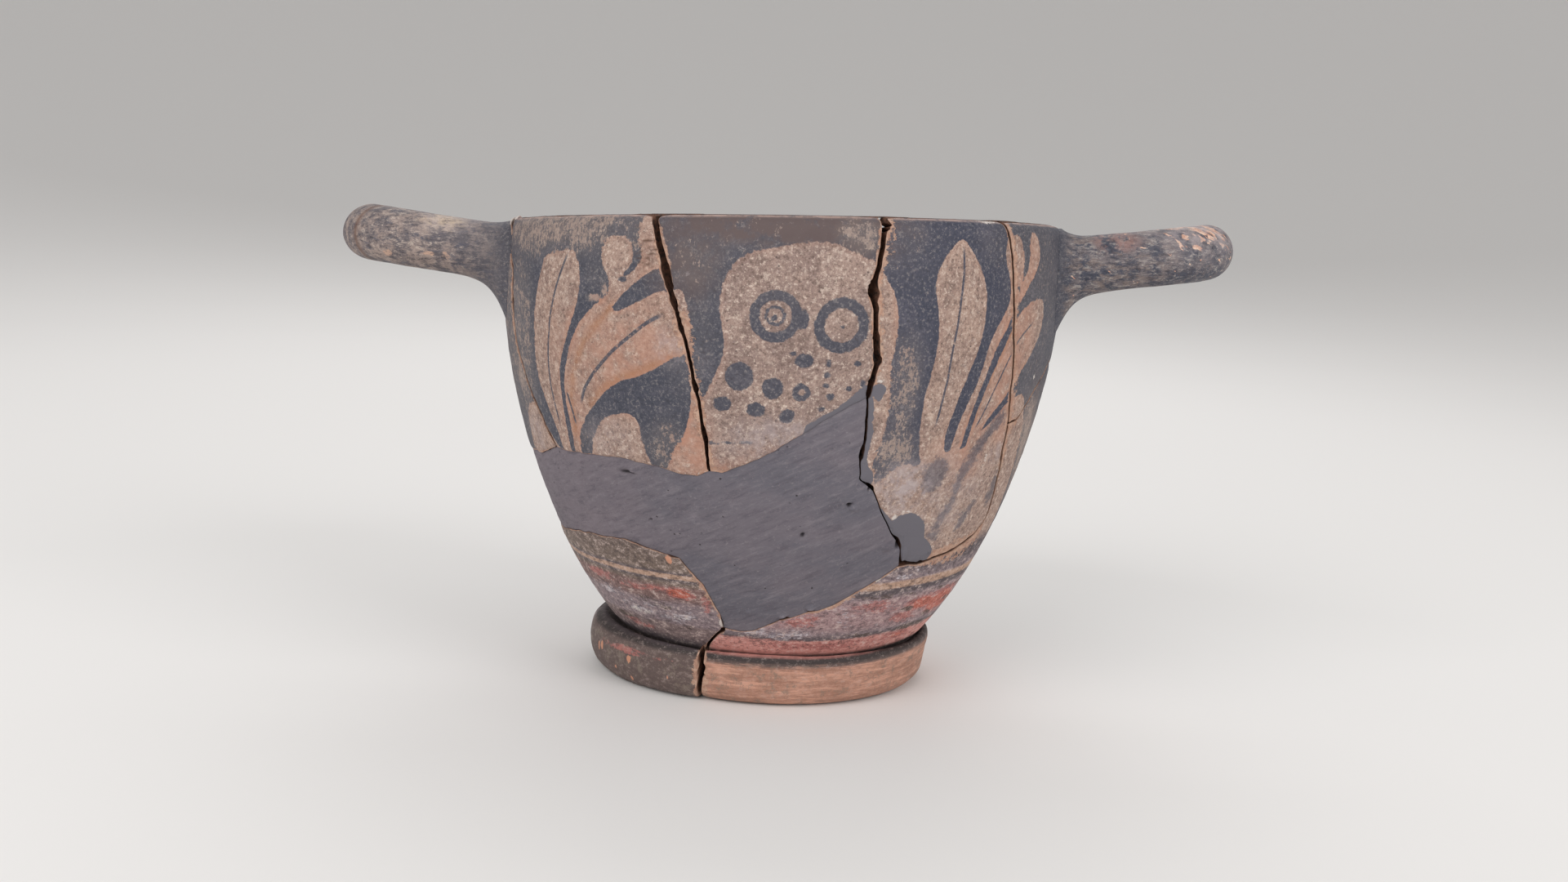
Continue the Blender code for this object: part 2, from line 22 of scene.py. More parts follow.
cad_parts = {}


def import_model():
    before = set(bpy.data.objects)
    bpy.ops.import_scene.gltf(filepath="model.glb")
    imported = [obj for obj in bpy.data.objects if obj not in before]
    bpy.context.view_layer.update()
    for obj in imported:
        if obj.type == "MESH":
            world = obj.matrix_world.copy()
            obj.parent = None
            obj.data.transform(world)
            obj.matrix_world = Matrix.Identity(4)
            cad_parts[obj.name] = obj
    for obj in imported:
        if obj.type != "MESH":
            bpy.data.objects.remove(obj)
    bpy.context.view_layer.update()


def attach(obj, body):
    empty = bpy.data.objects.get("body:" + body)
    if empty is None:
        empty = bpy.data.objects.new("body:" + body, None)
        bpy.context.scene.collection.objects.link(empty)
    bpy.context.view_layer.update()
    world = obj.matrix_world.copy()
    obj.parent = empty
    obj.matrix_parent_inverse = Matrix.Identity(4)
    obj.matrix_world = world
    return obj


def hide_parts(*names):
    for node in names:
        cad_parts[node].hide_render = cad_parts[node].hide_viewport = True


LOG = logging.getLogger("skyphos")
MM = 0.001
ARC_RADIUS = 50.0
TURN = math.tau * ARC_RADIUS
SPLIT_ANGLE = math.radians(48)
# The heights between which the lip's worn clay sets in, and the greatest height that handles carry
LIP, BELOW_LIP = (82.05, 82.55), 81.5
# A distance that stands for far outside a figure, and a rib too far away to show
FAR, NO_RIB = -6.0, 30.0

Array = np.ndarray
Colour = tuple[float, float, float]
# Soft ovals, each as its middle's arc and height, its half width and half height, and its strength
Blots = tuple[tuple[float, float, float, float, float], ...]


def linear(red: float, green: float, blue: float) -> tuple[float, ...]:
    """The linear colour of an sRGB one given from 0 to 255."""
    share = np.array([red, green, blue]) / 255
    bent = ((share + 0.055) / 1.055) ** 2.4
    return (*np.where(share <= 0.04045, share / 12.92, bent).tolist(), 1.0)


def smooth_step(value: Array, low: float, high: float) -> Array:
    """0 below low, 1 above high, and the cubic 3t^2 - 2t^3 between them."""
    t = np.clip((value - low) / (high - low), 0, 1)
    return t * t * (3 - 2 * t)


def unit(vectors: Array) -> Array:
    """Vectors divided by their lengths."""
    return vectors / np.linalg.norm(vectors, axis=-1, keepdims=True)


def wrapped(arc: Array, station: Array) -> Array:
    """Places of the unrolled wall set round a cylinder, so that noise there has no seam."""
    angle = arc / ARC_RADIUS
    return np.stack([ARC_RADIUS * np.sin(angle), ARC_RADIUS * np.cos(angle), station], axis=1)


def lattice(cells: Array, seed: int) -> Array:
    """A repeatable value from 0 to 1 for each whole-number cell, by mixing its three numbers.

    Args:
        cells: whole numbers, one row of three for each cell.
        seed: picks another set of values.

    Returns:
        One value for each row.
    """
    x, y, z = cells.astype(np.int64).T
    mixed = (x * 73856093) ^ (y * 19349663) ^ (z * 83492791) ^ (seed * 297121507)
    mixed = (mixed ^ (mixed >> 13)) * 1274126177
    mixed = mixed ^ (mixed >> 16)
    return (mixed & 0xFFFFFF) / 0xFFFFFF


def noise(points: Array, cell: float, seed: int, octaves: int = 2) -> Array:
    """Smooth noise from -1 to 1: lattice values blended across each cell, each octave half the size.

    Args:
        points: places in millimetres, one row of three for each.
        cell: size of the largest features.
        seed: picks another pattern.
        octaves: how many layers are added.

    Returns:
        One value for each point.
    """
    total, weight, most = np.zeros(len(points)), 1.0, 0.0
    for octave in range(octaves):
        scaled = points * (2**octave / cell)
        low = np.floor(scaled)
        t = scaled - low
        t = t**3 * (t * (t * 6 - 15) + 10)
        layer = np.zeros(len(points))
        for corner in product((0, 1), repeat=3):
            share = np.prod(np.where(corner, t, 1 - t), axis=1)
            layer += share * lattice(low + corner, seed + octave)
        total += weight * (2 * layer - 1)
        most += weight
        weight /= 2
    return total / most


def rounded(points: Array, steps: int = 4, closed: bool = False) -> Array:
    """A smooth line through the points: Catmull-Rom cubics, with steps stretches between two points.

    Args:
        points: the corners, in order.
        steps: stretches between two corners.
        closed: whether the last corner joins the first.

    Returns:
        The points of the smooth line.
    """
    points = np.asarray(points, float)
    if closed:
        before, start, after, beyond = (np.roll(points, k, axis=0) for k in (1, 0, -1, -2))
    else:
        padded = np.concatenate([points[:1], points, points[-1:]])
        before, start, after, beyond = padded[:-3], padded[1:-2], padded[2:-1], padded[3:]
    t = (np.arange(steps) / steps)[None, :, None]
    before, start, after, beyond = (p[:, None] for p in (before, start, after, beyond))
    curve = 0.5 * (
        2 * start
        + (after - before) * t
        + (2 * before - 5 * start + 4 * after - beyond) * t**2
        + (3 * start - before - 3 * after + beyond) * t**3
    )
    curve = curve.reshape(-1, 2)
    return curve if closed else np.concatenate([curve, points[-1:]])


def outline_distance(points: Array, outline: Array) -> Array:
    """How far each point is inside a closed outline, by its nearest stretch and a count of crossings.

    Args:
        points: places on a plane, one row of two for each.
        outline: the corners of the outline, in order.

    Returns:
        The distance, positive inside.
    """
    best = np.full(len(points), np.inf)
    inside = np.zeros(len(points), bool)
    for start, end in zip(outline, np.roll(outline, -1, axis=0)):
        step = end - start
        along = np.clip((points - start) @ step / max(step @ step, 1e-12), 0, 1)
        best = np.minimum(best, np.hypot(*(points - start - along[:, None] * step).T))
        if start[1] != end[1]:
            straddles = (start[1] > points[:, 1]) != (end[1] > points[:, 1])
            crossing = start[0] + (points[:, 1] - start[1]) * step[0] / step[1]
            inside ^= straddles & (points[:, 0] < crossing)
    return np.where(inside, best, -best)


def grid_distance(across: int, up: int, outline: Array, reach: float = 14.0) -> tuple[Array, Array, Array]:
    """How far each corner of a square grid is inside a closed outline, worked out only near each stretch.

    Args:
        across: how many corners there are in a row.
        up: how many rows there are.
        outline: the corners of the outline, in steps of the grid.
        reach: the distance past which it is no longer told apart.

    Returns:
        The distance, positive inside; the nearest place on the outline; the number of the nearest stretch.
    """
    best = np.full((up, across), reach)
    nearest = np.zeros((up, across, 2))
    which = np.zeros((up, across), int)
    inside = np.zeros((up, across), bool)
    margin, limits, levels = math.ceil(reach), np.array([across, up]), np.arange(up)
    for k, (start, end) in enumerate(zip(outline, np.roll(outline, -1, axis=0))):
        step = end - start
        low = np.clip(np.floor(np.minimum(start, end)).astype(int) - margin, 0, limits)
        high = np.clip(np.ceil(np.maximum(start, end)).astype(int) + margin + 1, 0, limits)
        box = (slice(low[1], high[1]), slice(low[0], high[0]))
        x, y = np.meshgrid(np.arange(low[0], high[0]), np.arange(low[1], high[1]))
        along = ((x - start[0]) * step[0] + (y - start[1]) * step[1]) / max(step @ step, 1e-12)
        foot = start + np.clip(along, 0, 1)[..., None] * step
        distance = np.hypot(x - foot[..., 0], y - foot[..., 1])
        closer = distance < best[box]
        for kept, found in ((best, distance[closer]), (nearest, foot[closer]), (which, k)):
            kept[box][closer] = found
        rows = levels[(start[1] > levels) != (end[1] > levels)]
        if len(rows):
            crossing = start[0] + (rows - start[1]) * step[0] / step[1]
            inside[rows] ^= np.arange(across)[None] < crossing[:, None]
    return np.where(inside, best, -best).ravel(), nearest.reshape(-1, 2), which.ravel()


def line_offset(points: Array, line: Array) -> tuple[Array, Array]:
    """How far each point lies to the left of an open line, and the share of the line's length there.

    Args:
        points: places on a plane.
        line: the points of the line, in order.

    Returns:
        The distance, negative on the right; the share, below 0 or above 1 past the line's ends.
    """
    lengths = np.linalg.norm(np.diff(line, axis=0), axis=1)
    passed = np.concatenate([[0], np.cumsum(lengths)])
    best, side, share = (np.full(len(points), v) for v in (np.inf, 1.0, 0.0))
    for k, (start, end) in enumerate(zip(line[:-1], line[1:])):
        step = (end - start) / lengths[k]
        along = (points - start) @ step
        held = np.clip(along, 0, lengths[k])
        distance = np.hypot(*(points - start - held[:, None] * step).T)
        closer = distance < best
        across = step[0] * (points[:, 1] - start[1]) - step[1] * (points[:, 0] - start[0])
        low = 0 if k else -np.inf
        high = lengths[k] if k < len(lengths) - 1 else np.inf
        best[closer] = distance[closer]
        side[closer] = np.where(across >= 0, 1.0, -1.0)[closer]
        share[closer] = ((passed[k] + np.clip(along, low, high)) / passed[-1])[closer]
    return best * side, share


@dataclass
class VesselProfile:
    """The turned section of the vessel and how it sits, in millimetres.

    The outer wall is one cubic curve from waist to rim, and the inner wall runs a thickness inside it.
    Both draw together over the lip. Below the waist the outer line runs down over the foot and under it.
    """

    height: float = 82.6
    rim_radius: float = 50.0
    # Radius of each handle of the wall's curve, and its share of the way up
    lower_swell: tuple[float, float] = (44.1, 0.236)
    upper_swell: tuple[float, float] = (53.6, 0.737)
    waist_radius: float = 28.0
    waist_height: float = 8.3
    rim_wall: float = 3.4
    waist_wall: float = 5.0
    lip_depth: float = 1.6
    lip_flat: float = 0.1
    floor_thickness: float = 5.0
    foot_top_radius: float = 30.8
    foot_taper: float = 1.7
    foot_top_height: float = 9.3
    foot_edge_round: float = 2.4
    foot_face_top: float = 7.7
    rest_width: float = 4.6
    recess_depth: float = 4.5
    recess_slope: float = 1.6
    floor_over_recess: float = 0.8
    proud_radius: float = 29.9
    proud_bulge: float = 3.4
    proud_half_height: float = 4.9
    proud_step: float = 0.7
    lean: float = -0.0093
    rim_tilt: float = math.radians(-2.45)
    side_shift: float = 0.2
    # Radius and height of the points from the foot's face over its top and down to the waist
    shoulder: tuple = ((30.5, 8.3), (30.3, 8.9), (29.8, 9.25), (29.2, 9.2), (28.6, 8.8), (28.15, 8.4))

    def __post_init__(self) -> None:
        """Works out the outer and inner lines, their stations, the marks on them and the outer normals."""
        base = self.base_line()
        near_rim = 1 - np.linspace(0, 0.022, 60)
        shares = np.unique(np.concatenate([np.linspace(0, 1, 420), near_rim]))
        wall = self.wall_at(shares)
        thickness = self.waist_wall + (self.rim_wall - self.waist_wall) * shares
        tangent = unit(np.gradient(wall, axis=0))
        inside = wall - np.stack([tangent[:, 1], -tangent[:, 0]], axis=1) * thickness[:, None]
        into_lip = np.clip((wall[:, 1] - self.height + self.lip_depth) / self.lip_depth, 0, 1)
        inside[:, 1] += (wall[:, 1] - inside[:, 1]) * into_lip
        half = (wall[:, 0] - inside[:, 0]) / 2
        drawn = (half - self.lip_flat / 2) * (1 - np.sqrt(1 - into_lip**2))
        wall[:, 0] -= drawn
        inside[:, 0] += drawn
        self.outer = np.concatenate([base, wall])
        steps = np.linalg.norm(np.diff(self.outer, axis=0), axis=1)
        self.stations = np.concatenate([[0], np.cumsum(steps)])
        waist, low = len(base), base[:, 1] < 1e-9
        places = {
            "recess": np.argmax(base[:, 1] < self.recess_depth - 1e-9) - 1, "rest_inner": np.argmax(low),
            "rest_outer": waist - 1 - np.argmax(low[::-1]), "foot_top": np.argmax(base[:, 1]),
            "waist": waist, "rim": -1,
        }
        self.marks = {name: float(self.stations[place]) for name, place in places.items()}
        knots = (0, self.marks["recess"], self.marks["waist"])
        share = np.interp(self.stations[:waist], knots, (0, self.floor_over_recess, 1))
        floor = self.recess_depth + self.floor_thickness
        floor_line = [share * inside[0, 0], floor + (inside[0, 1] - floor) * share**4]
        self.inner = np.concatenate([np.stack(floor_line, axis=1), inside])
        slope = unit(np.gradient(self.outer, self.stations, axis=0))
        self.normals = np.stack([slope[:, 1], -slope[:, 0]], axis=1)

    def wall_at(self, share: Array) -> Array:
        """Radius and height of the outer wall's cubic curve at shares of the way up from waist to rim."""
        rise = self.height - self.waist_height
        parts = (self.lower_swell, self.upper_swell)
        swells = [(radius, self.waist_height + part * rise) for radius, part in parts]
        corners = np.array([(self.waist_radius, self.waist_height), *swells, (self.rim_radius, self.height)])

        def curve(t: Array) -> Array:
            """The corners weighted as (1-t)^3, 3t(1-t)^2, 3t^2(1-t) and t^3."""
            t = t[:, None]
            weights = ((1 - t) ** 3, 3 * t * (1 - t) ** 2, 3 * t**2 * (1 - t), t**3)
            return sum(w * c for w, c in zip(weights, corners))

        t = np.linspace(0, 1, 900)
        wanted = self.waist_height + np.asarray(share, float) * rise
        return curve(np.interp(wanted, curve(t)[:, 1], t))

    def foot_face(self, heights: Array) -> Array:
        """Radius of the worn, straight face of the foot, with its lower edge rounded."""
        taper = self.foot_taper * (1 - heights / self.foot_top_height)
        edge = np.clip(1 - heights / self.foot_edge_round, 0, 1)
        return self.foot_top_radius - taper - self.foot_edge_round * (1 - np.sqrt(1 - edge**2))

    def proud_face(self, heights: Array) -> Array:
        """Radius of the rounded face that the left part of the foot keeps."""
        away = np.clip((heights - self.proud_half_height) / self.proud_half_height, -1, 1)
        return self.proud_radius + self.proud_bulge * np.sqrt(1 - 0.9 * away**2)

    def base_line(self) -> Array:
        """The outer line from the middle of the underside to just short of the waist."""
        edge = np.linspace(0, 1, 16)[:-1] ** 2 * self.foot_edge_round
        heights = np.concatenate([edge, np.linspace(self.foot_edge_round, self.foot_face_top, 22)])
        face = np.stack([self.foot_face(heights), heights], axis=1)
        rest_inner = face[0, 0] - self.rest_width
        under = np.linspace((0, self.recess_depth), (rest_inner - self.recess_slope, self.recess_depth), 30)
        t = np.linspace(0, 1, 12)[1:, None]
        slope = under[-1] + (np.array([rest_inner, 0.0]) - under[-1]) * t
        rest = np.linspace((rest_inner, 0), (face[0, 0], 0), 8)[1:-1]
        top = rounded([face[-1], *self.shoulder], 5)[1:]
        return np.concatenate([under, slope, rest, face, top])

    def share_of(self, height: Array) -> Array:
        """Shares of the way up from the waist to the rim at heights."""
        return (height - self.waist_height) / (self.height - self.waist_height)

    def station_of(self, share: Array | float) -> Array:
        """Stations on the wall at shares of the way up from the waist to the rim."""
        wanted = self.waist_height + np.asarray(share, float) * (self.height - self.waist_height)
        wall = self.stations >= self.marks["waist"]
        return np.interp(wanted, self.outer[wall, 1], self.stations[wall])

    def line(self, station: Array, depth: Array) -> list[Array]:
        """Radius and height at stations, at a share of the way through from the outer to the inner face."""
        found = []
        for axis in (0, 1):
            out = np.interp(station, self.stations, self.outer[:, axis])
            into = np.interp(station, self.stations, self.inner[:, axis])
            found.append(out + (into - out) * depth)
        return found

    def swelling(self, angle: Array, station: Array, height: Array, span: tuple[float, float]) -> Array:
        """How far the left part of the foot stands out past the worn part, none at the ground and the waist.

        Args:
            angle: the angles round the vessel.
            station: the stations.
            height: the heights.
            span: the angles at the two ends of the part that stands out.

        Returns:
            The step at the part's ends, grown over its middle as half a sine wave.
        """
        round_share = np.clip((angle - span[0]) / (span[1] - span[0]), 0, 1)
        plain = self.foot_face(np.clip(height, 0, self.foot_top_height))
        proud = self.proud_face(height) - plain - self.proud_step
        growth = self.proud_step + proud * np.sin(np.pi * round_share)
        knots = [self.marks[k] for k in ("rest_inner", "rest_outer", "foot_top", "waist")]
        return growth * np.interp(station, knots, (0, 1, 1, 0))

    def settle(self, radius: Array, height: Array, angle: Array) -> Array:
        """Places in millimetres, with the vessel's lean, its tilted rim and its shift to the side."""
        return self.tilt(np.stack([radius * np.sin(angle), -radius * np.cos(angle), height], axis=1))

    def tilt(self, points: Array) -> Array:
        """Points with the lean, the tilted rim and the shift applied to them."""
        x, y, z = points.T
        sunk = math.tan(self.rim_tilt) * x * np.clip(self.share_of(z), 0, 1.05)
        return np.stack([x + self.lean * z + self.side_shift, y, z - sunk], axis=1)


PROFILE = VesselProfile()


def frayed(line: Array, amount: float = 0.16, spacing: float = 0.45) -> Array:
    """A crack line with closer points, moved by noise that is the same for the sherds on both its sides.

    Args:
        line: the crack as (arc, station).
        amount: how far the noise moves it, in millimetres.
        spacing: how far apart the points may be.

    Returns:
        The closer line.
    """
    rows = []
    for start, end in zip(line[:-1], line[1:]):
        count = max(1, math.ceil(np.hypot(*(end - start)) / spacing))
        rows.append(start + (end - start) * (np.arange(count) / count)[:, None])
    rows = np.concatenate([*rows, line[-1:]])
    place = wrapped(*rows.T)
    calm = np.minimum(np.arange(len(rows)), np.arange(len(rows))[::-1])
    size = amount * np.clip(calm / 3, 0, 1)
    shift = [size * noise(place, 3.2, seed, 3) * 2 for seed in (11, 23)]
    return rows + np.stack(shift, axis=1)


class Gap(Enum):
    """Half the width of a crack, in millimetres, and the cracks that are as wide."""

    FILLED = (0.03, "fill_handle", "fill_leaves", "fill_owl", "fill_bottom_left", "fill_bottom_right")
    HAIR = (0.10, "left_low", "back_low", "back", "fill_right")
    LINE = (0.18, "below_handle")
    FINE = (0.29, "owl_left", "right", "right_low", "rear", "front", "floor_front", "floor_rear")
    OPEN = (0.42, "left", "owl_right")


@dataclass
class CrackMap:
    """Every crack, as (degrees round from the front, share of the way from waist to rim).

    base runs through the foot and the floor, and its shares are of the way from the underside's middle to
    the waist. Each sherd's edges are named in order, with a minus before a crack that is run backwards.
    """

    left: tuple = (
        (-70.5, 1), (-68.1, 0.92), (-65.9, 0.88), (-65.8, 0.82), (-66, 0.76), (-65.3, 0.7), (-62.3, 0.635),
        (-59.1, 0.57), (-56.4, 0.525), (-52.9, 0.472),
    )
    owl_left: tuple = (
        (-23.8, 1), (-21.7, 0.93), (-19.5, 0.856), (-18.1, 0.8), (-16.6, 0.74), (-14.3, 0.62),
        (-13.2, 0.53), (-12.6, 0.46),
    )
    owl_right: tuple = (
        (18.3, 1), (17.2, 0.906), (16.3, 0.853), (17.1, 0.81), (17.6, 0.738), (18.3, 0.7), (17, 0.631),
    )
    right: tuple = (
        (45.3, 1), (47.2, 0.937), (49, 0.805), (52, 0.685), (52.8, 0.633), (55.3, 0.559),
    )
    right_low: tuple = (
        (55.3, 0.559), (56.1, 0.51), (60.6, 0.396), (62.6, 0.346), (62.2, 0.316), (59.6, 0.291),
        (51.5, 0.264), (43.5, 0.249), (33.6, 0.243),
    )
    below_handle: tuple = (
        (55.3, 0.559), (59, 0.564), (65.8, 0.631), (75.6, 0.689), (85.9, 0.669), (100.8, 0.575),
        (120.3, 0.494), (143.2, 0.44), (171.9, 0.467),
    )
    back: tuple = (
        (171.9, 1), (168.4, 0.857), (173, 0.709), (169.6, 0.588), (171.9, 0.467),
    )
    back_low: tuple = (
        (-188.1, 0.467), (-171.9, 0.427), (-150.1, 0.386),
    )
    left_low: tuple = (
        (-150.1, 0.386), (-135.2, 0.379), (-116.9, 0.359),
    )
    rear: tuple = (
        (-150.1, 0.386), (-152.4, 0.265), (-149, 0.13), (-151.3, 0),
    )
    front: tuple = (
        (-12.5, 0.075), (-16.4, 0.046), (-19.6, 0.021), (-20.6, 0),
    )
    fill_handle: tuple = (
        (-116.9, 0.359), (-100.8, 0.406), (-80.2, 0.433), (-62.7, 0.444), (-52.9, 0.472),
    )
    fill_leaves: tuple = (
        (-52.9, 0.472), (-49.2, 0.466), (-32.4, 0.471), (-25.2, 0.464), (-18.6, 0.448), (-15.1, 0.448),
        (-12.6, 0.46),
    )
    fill_owl: tuple = (
        (-12.6, 0.46), (-10.1, 0.458), (-2.6, 0.493), (4.8, 0.545), (11.1, 0.595), (17, 0.631),
    )
    fill_right: tuple = (
        (17, 0.631), (17.5, 0.541), (17.1, 0.491), (17.8, 0.452), (20.9, 0.433), (23.5, 0.385), (28, 0.327),
        (32.2, 0.287), (33.6, 0.243),
    )
    fill_bottom_left: tuple = (
        (-116.9, 0.359), (-105.4, 0.278), (-89.4, 0.241), (-71, 0.242), (-57.3, 0.262), (-37.1, 0.274),
        (-21.7, 0.245), (-16.5, 0.187), (-13.1, 0.111), (-12.5, 0.075),
    )
    fill_bottom_right: tuple = (
        (-12.5, 0.075), (-7.3, 0.068), (-3.1, 0.076), (3.6, 0.106), (17.6, 0.146), (29, 0.211),
        (33.6, 0.243),
    )
    base: tuple = (
        (-20.6, 1), (-20.6, 0.93), (-21.2, 0.83), (-22.6, 0.7), (-24.2, 0.58), (-26.5, 0.5), (-38, 0.4),
        (-60, 0.32), (-88, 0.29), (-114, 0.32), (-136, 0.41), (-146, 0.5), (-149, 0.6), (-150.2, 0.8),
        (-151.3, 1),
    )
    seam_degrees: float = -88.0
    past_rim: float = 8.0
    past_seam: float = 8.0
    sherds: dict[str, str] = field(default_factory=lambda: {
        "left_handle_sherd": "left -fill_handle -left_low -back_low -back",
        "left_leaf_sherd": "owl_left -fill_leaves -left",
        "owl_sherd": "owl_right -fill_owl -owl_left",
        "right_leaf_sherd": "right right_low -fill_right -owl_right",
        "right_handle_sherd": "back -below_handle -right",
        "left_foot_sherd": "fill_bottom_left front floor_front floor_rear -rear left_low",
        "right_foot_sherd": "fill_bottom_right -right_low below_handle back_low rear -floor_rear seam"
                            " -floor_front -front",
        "grey_fill": "fill_handle fill_leaves fill_owl fill_right -fill_bottom_right -fill_bottom_left",
    })

    def __post_init__(self) -> None:
        """Frays each crack once, so that the sherds on both its sides share its line, and adds the seam."""
        self.halves = {name: gap.value[0] for gap in Gap for name in gap.value[1:]} | {"seam": 0.0}
        self.lines = {name: frayed(self.wall(name)) for name in self.halves if hasattr(self, name)}
        degrees, shares = np.array(self.base).T
        floor = np.stack([np.radians(degrees) * ARC_RADIUS, shares * PROFILE.marks["waist"]], axis=1)
        seam = int(np.argmin(np.abs(floor[:, 0] - math.radians(self.seam_degrees) * ARC_RADIUS)))
        self.lines["floor_front"] = frayed(floor[: seam + 1])
        self.lines["floor_rear"] = frayed(floor[seam:])
        left, past = self.lines["floor_rear"][0], self.past_seam
        right = left + (TURN, 0)
        below = [(right[0] + past, -past), (left[0] - past, -past)]
        corners = [right, right + (past, 0), *below, left - (past, 0), left]
        self.lines["seam"] = np.array(corners)

    def wall(self, name: str) -> Array:
        """A crack in the wall as (arc, station), carried on past the rim where it reaches it."""
        degrees, shares = np.array(getattr(self, name)).T
        line = np.stack([np.radians(degrees) * ARC_RADIUS, PROFILE.station_of(shares)], axis=1)
        return np.concatenate([line[:1] + (0, self.past_rim), line]) if shares[0] >= 1 else line

    def edges(self, sherd: str) -> list[tuple[Array, float]]:
        """A sherd's edges in order, each moved by whole turns to where the one before it ends.

        Args:
            sherd: the sherd's name.

        Returns:
            Each edge's line and half its crack's width.
        """
        found = []
        for crack in self.sherds[sherd].split():
            name = crack.lstrip("-")
            line = self.lines[name][::-1] if crack != name else self.lines[name]
            turns = round((found[-1][0][-1, 0] - line[0, 0]) / TURN) if found else 0
            found.append((line + (turns * TURN, 0), self.halves[name]))
        first, last = found[0][0][0], found[-1][0][-1]
        if np.hypot(*(first - last)) > 0.5:
            found.append((np.array([last, first]), 0.0))
        return found


CRACKS = CrackMap()


@dataclass(frozen=True)
class Notch:
    """A place where a piece of the edge is lost: its arc, its height, its radius and its depth."""

    arc: float
    height: float
    radius: float
    depth: float


@dataclass
class Sheet:
    """One sherd's grid on the unrolled wall, trimmed to its cracks.

    columns and rows are the arcs and stations of the grid lines. edges are the sherd's cracks in order,
    each with half its width. inner_half is half a crack's width at the inner face.
    """

    columns: Array
    rows: Array
    edges: list[tuple[Array, float]]
    notches: tuple[Notch, ...] = ()
    whole_round: bool = False
    inner_half: float = 0.012

    def __post_init__(self) -> None:
        """Keeps the cells inside the outline and pulls the corners nearest to it on to the crack's lip."""
        across, up = len(self.columns), len(self.rows)
        grid = np.stack(np.meshgrid(np.arange(across), np.arange(up)), axis=-1).reshape(-1, 2).astype(float)
        lines = [self.to_index(line[:-1]) for line, _ in self.edges]
        outline = np.concatenate(lines)
        halves = np.concatenate([np.full(len(part), half) for part, (_, half) in zip(lines, self.edges)])
        reach, nearest, which = grid_distance(across, up, outline)
        plane = self.to_plane(grid)
        spacing = np.interp(plane[:, 1], (self.rows[1:] + self.rows[:-1]) / 2, np.diff(self.rows))
        half = halves[which] + self.lost(plane) * smooth_step(halves[which], 0.02, 0.09)
        direction = grid - nearest
        length = np.hypot(*direction.T)
        step = np.roll(outline, -1, axis=0) - outline
        turn = 1 if np.sum(outline[:, 0] * step[:, 1] - outline[:, 1] * step[:, 0]) > 0 else -1
        normal = turn * np.stack([-step[:, 1], step[:, 0]], axis=1)
        normal /= np.maximum(np.hypot(*normal.T), 1e-9)[:, None]
        away = direction * (np.sign(reach) / np.maximum(length, 1e-9))[:, None]
        self.inward = np.where((length > 0.05)[:, None], away, normal[which])
        past = reach - half / spacing
        near = np.abs(past) <= 0.5
        top = grid[:, 1] == up - 1
        places = []
        for gap in (half, np.minimum(halves[which], self.inner_half)):
            moved = np.where(near[:, None], nearest + self.inward * (gap / spacing)[:, None], grid)
            moved[top, 1] = up - 1
            places.append(moved)
        self.keep(places[0], past > -0.5, across, up)
        self.arc, self.station = self.to_plane(places[0]).T
        self.inner_arc, self.inner_station = self.to_plane(places[1]).T
        self.edge = np.where(near, 0, np.maximum(past, 0)) * spacing
        self.on_rim = top
        ends = (grid[:, 0] == 0) | (grid[:, 0] == across - 1) | (grid[:, 1] == 0)
        self.on_seam = ends & self.whole_round

    def to_index(self, plane: Array) -> Array:
        """Places on the unrolled wall as places in the grid, counted in columns and rows."""
        step = self.columns[1] - self.columns[0]
        index = np.interp(plane[:, 1], self.rows, np.arange(len(self.rows), dtype=float))
        index += np.clip(plane[:, 1] - self.rows[-1], 0, None) / (self.rows[-1] - self.rows[-2])
        index -= np.clip(self.rows[0] - plane[:, 1], 0, None) / (self.rows[1] - self.rows[0])
        return np.stack([(plane[:, 0] - self.columns[0]) / step, index], axis=1)

    def to_plane(self, index: Array) -> Array:
        """Places in the grid as places on the unrolled wall."""
        step = self.columns[1] - self.columns[0]
        station = np.interp(index[:, 1], np.arange(len(self.rows), dtype=float), self.rows)
        return np.stack([self.columns[0] + index[:, 0] * step, station], axis=1)

    def keep(self, snapped: Array, kept: Array, across: int, up: int) -> None:
        """Makes the faces: a quad where all four corners are kept and a triangle where three are.

        Args:
            snapped: the corners' places in the grid.
            kept: whether each corner is kept.
            across: how many corners there are in a row.
            up: how many rows there are.
        """
        corner = (np.arange(up - 1)[:, None] * across + np.arange(across - 1)[None]).ravel()
        cells = np.stack([corner, corner + 1, corner + 1 + across, corner + across], axis=1)
        count = kept[cells].sum(axis=1)
        quads, three = cells[count == 4], cells[count == 3]
        turned = (np.argmin(kept[three], axis=1)[:, None] + np.arange(1, 4)[None]) % 4
        tris = np.take_along_axis(three, turned, axis=1)
        self.quads = quads[self.area(snapped, quads) > 0.06]
        self.tris = tris[self.area(snapped, tris) > 0.03]

    @staticmethod
    def area(places: Array, faces: Array) -> Array:
        """Area of each face by the sum of its corners' cross products."""
        corners = places[faces]
        after = np.roll(corners, -1, axis=1)
        return 0.5 * np.sum(corners[..., 0] * after[..., 1] - corners[..., 1] * after[..., 0], axis=1)

    def lost(self, plane: Array) -> Array:
        """How much further back the outer edge has broken: small chips everywhere, and the notches."""
        total = 0.26 * smooth_step(noise(wrapped(*plane.T), 2.6, 41), 0.12, 0.55)
        for notch in self.notches:
            centre = (notch.arc, float(PROFILE.station_of(PROFILE.share_of(notch.height))))
            total += notch.depth * np.exp(-((np.hypot(*(plane - centre).T) / notch.radius) ** 2))
        return total

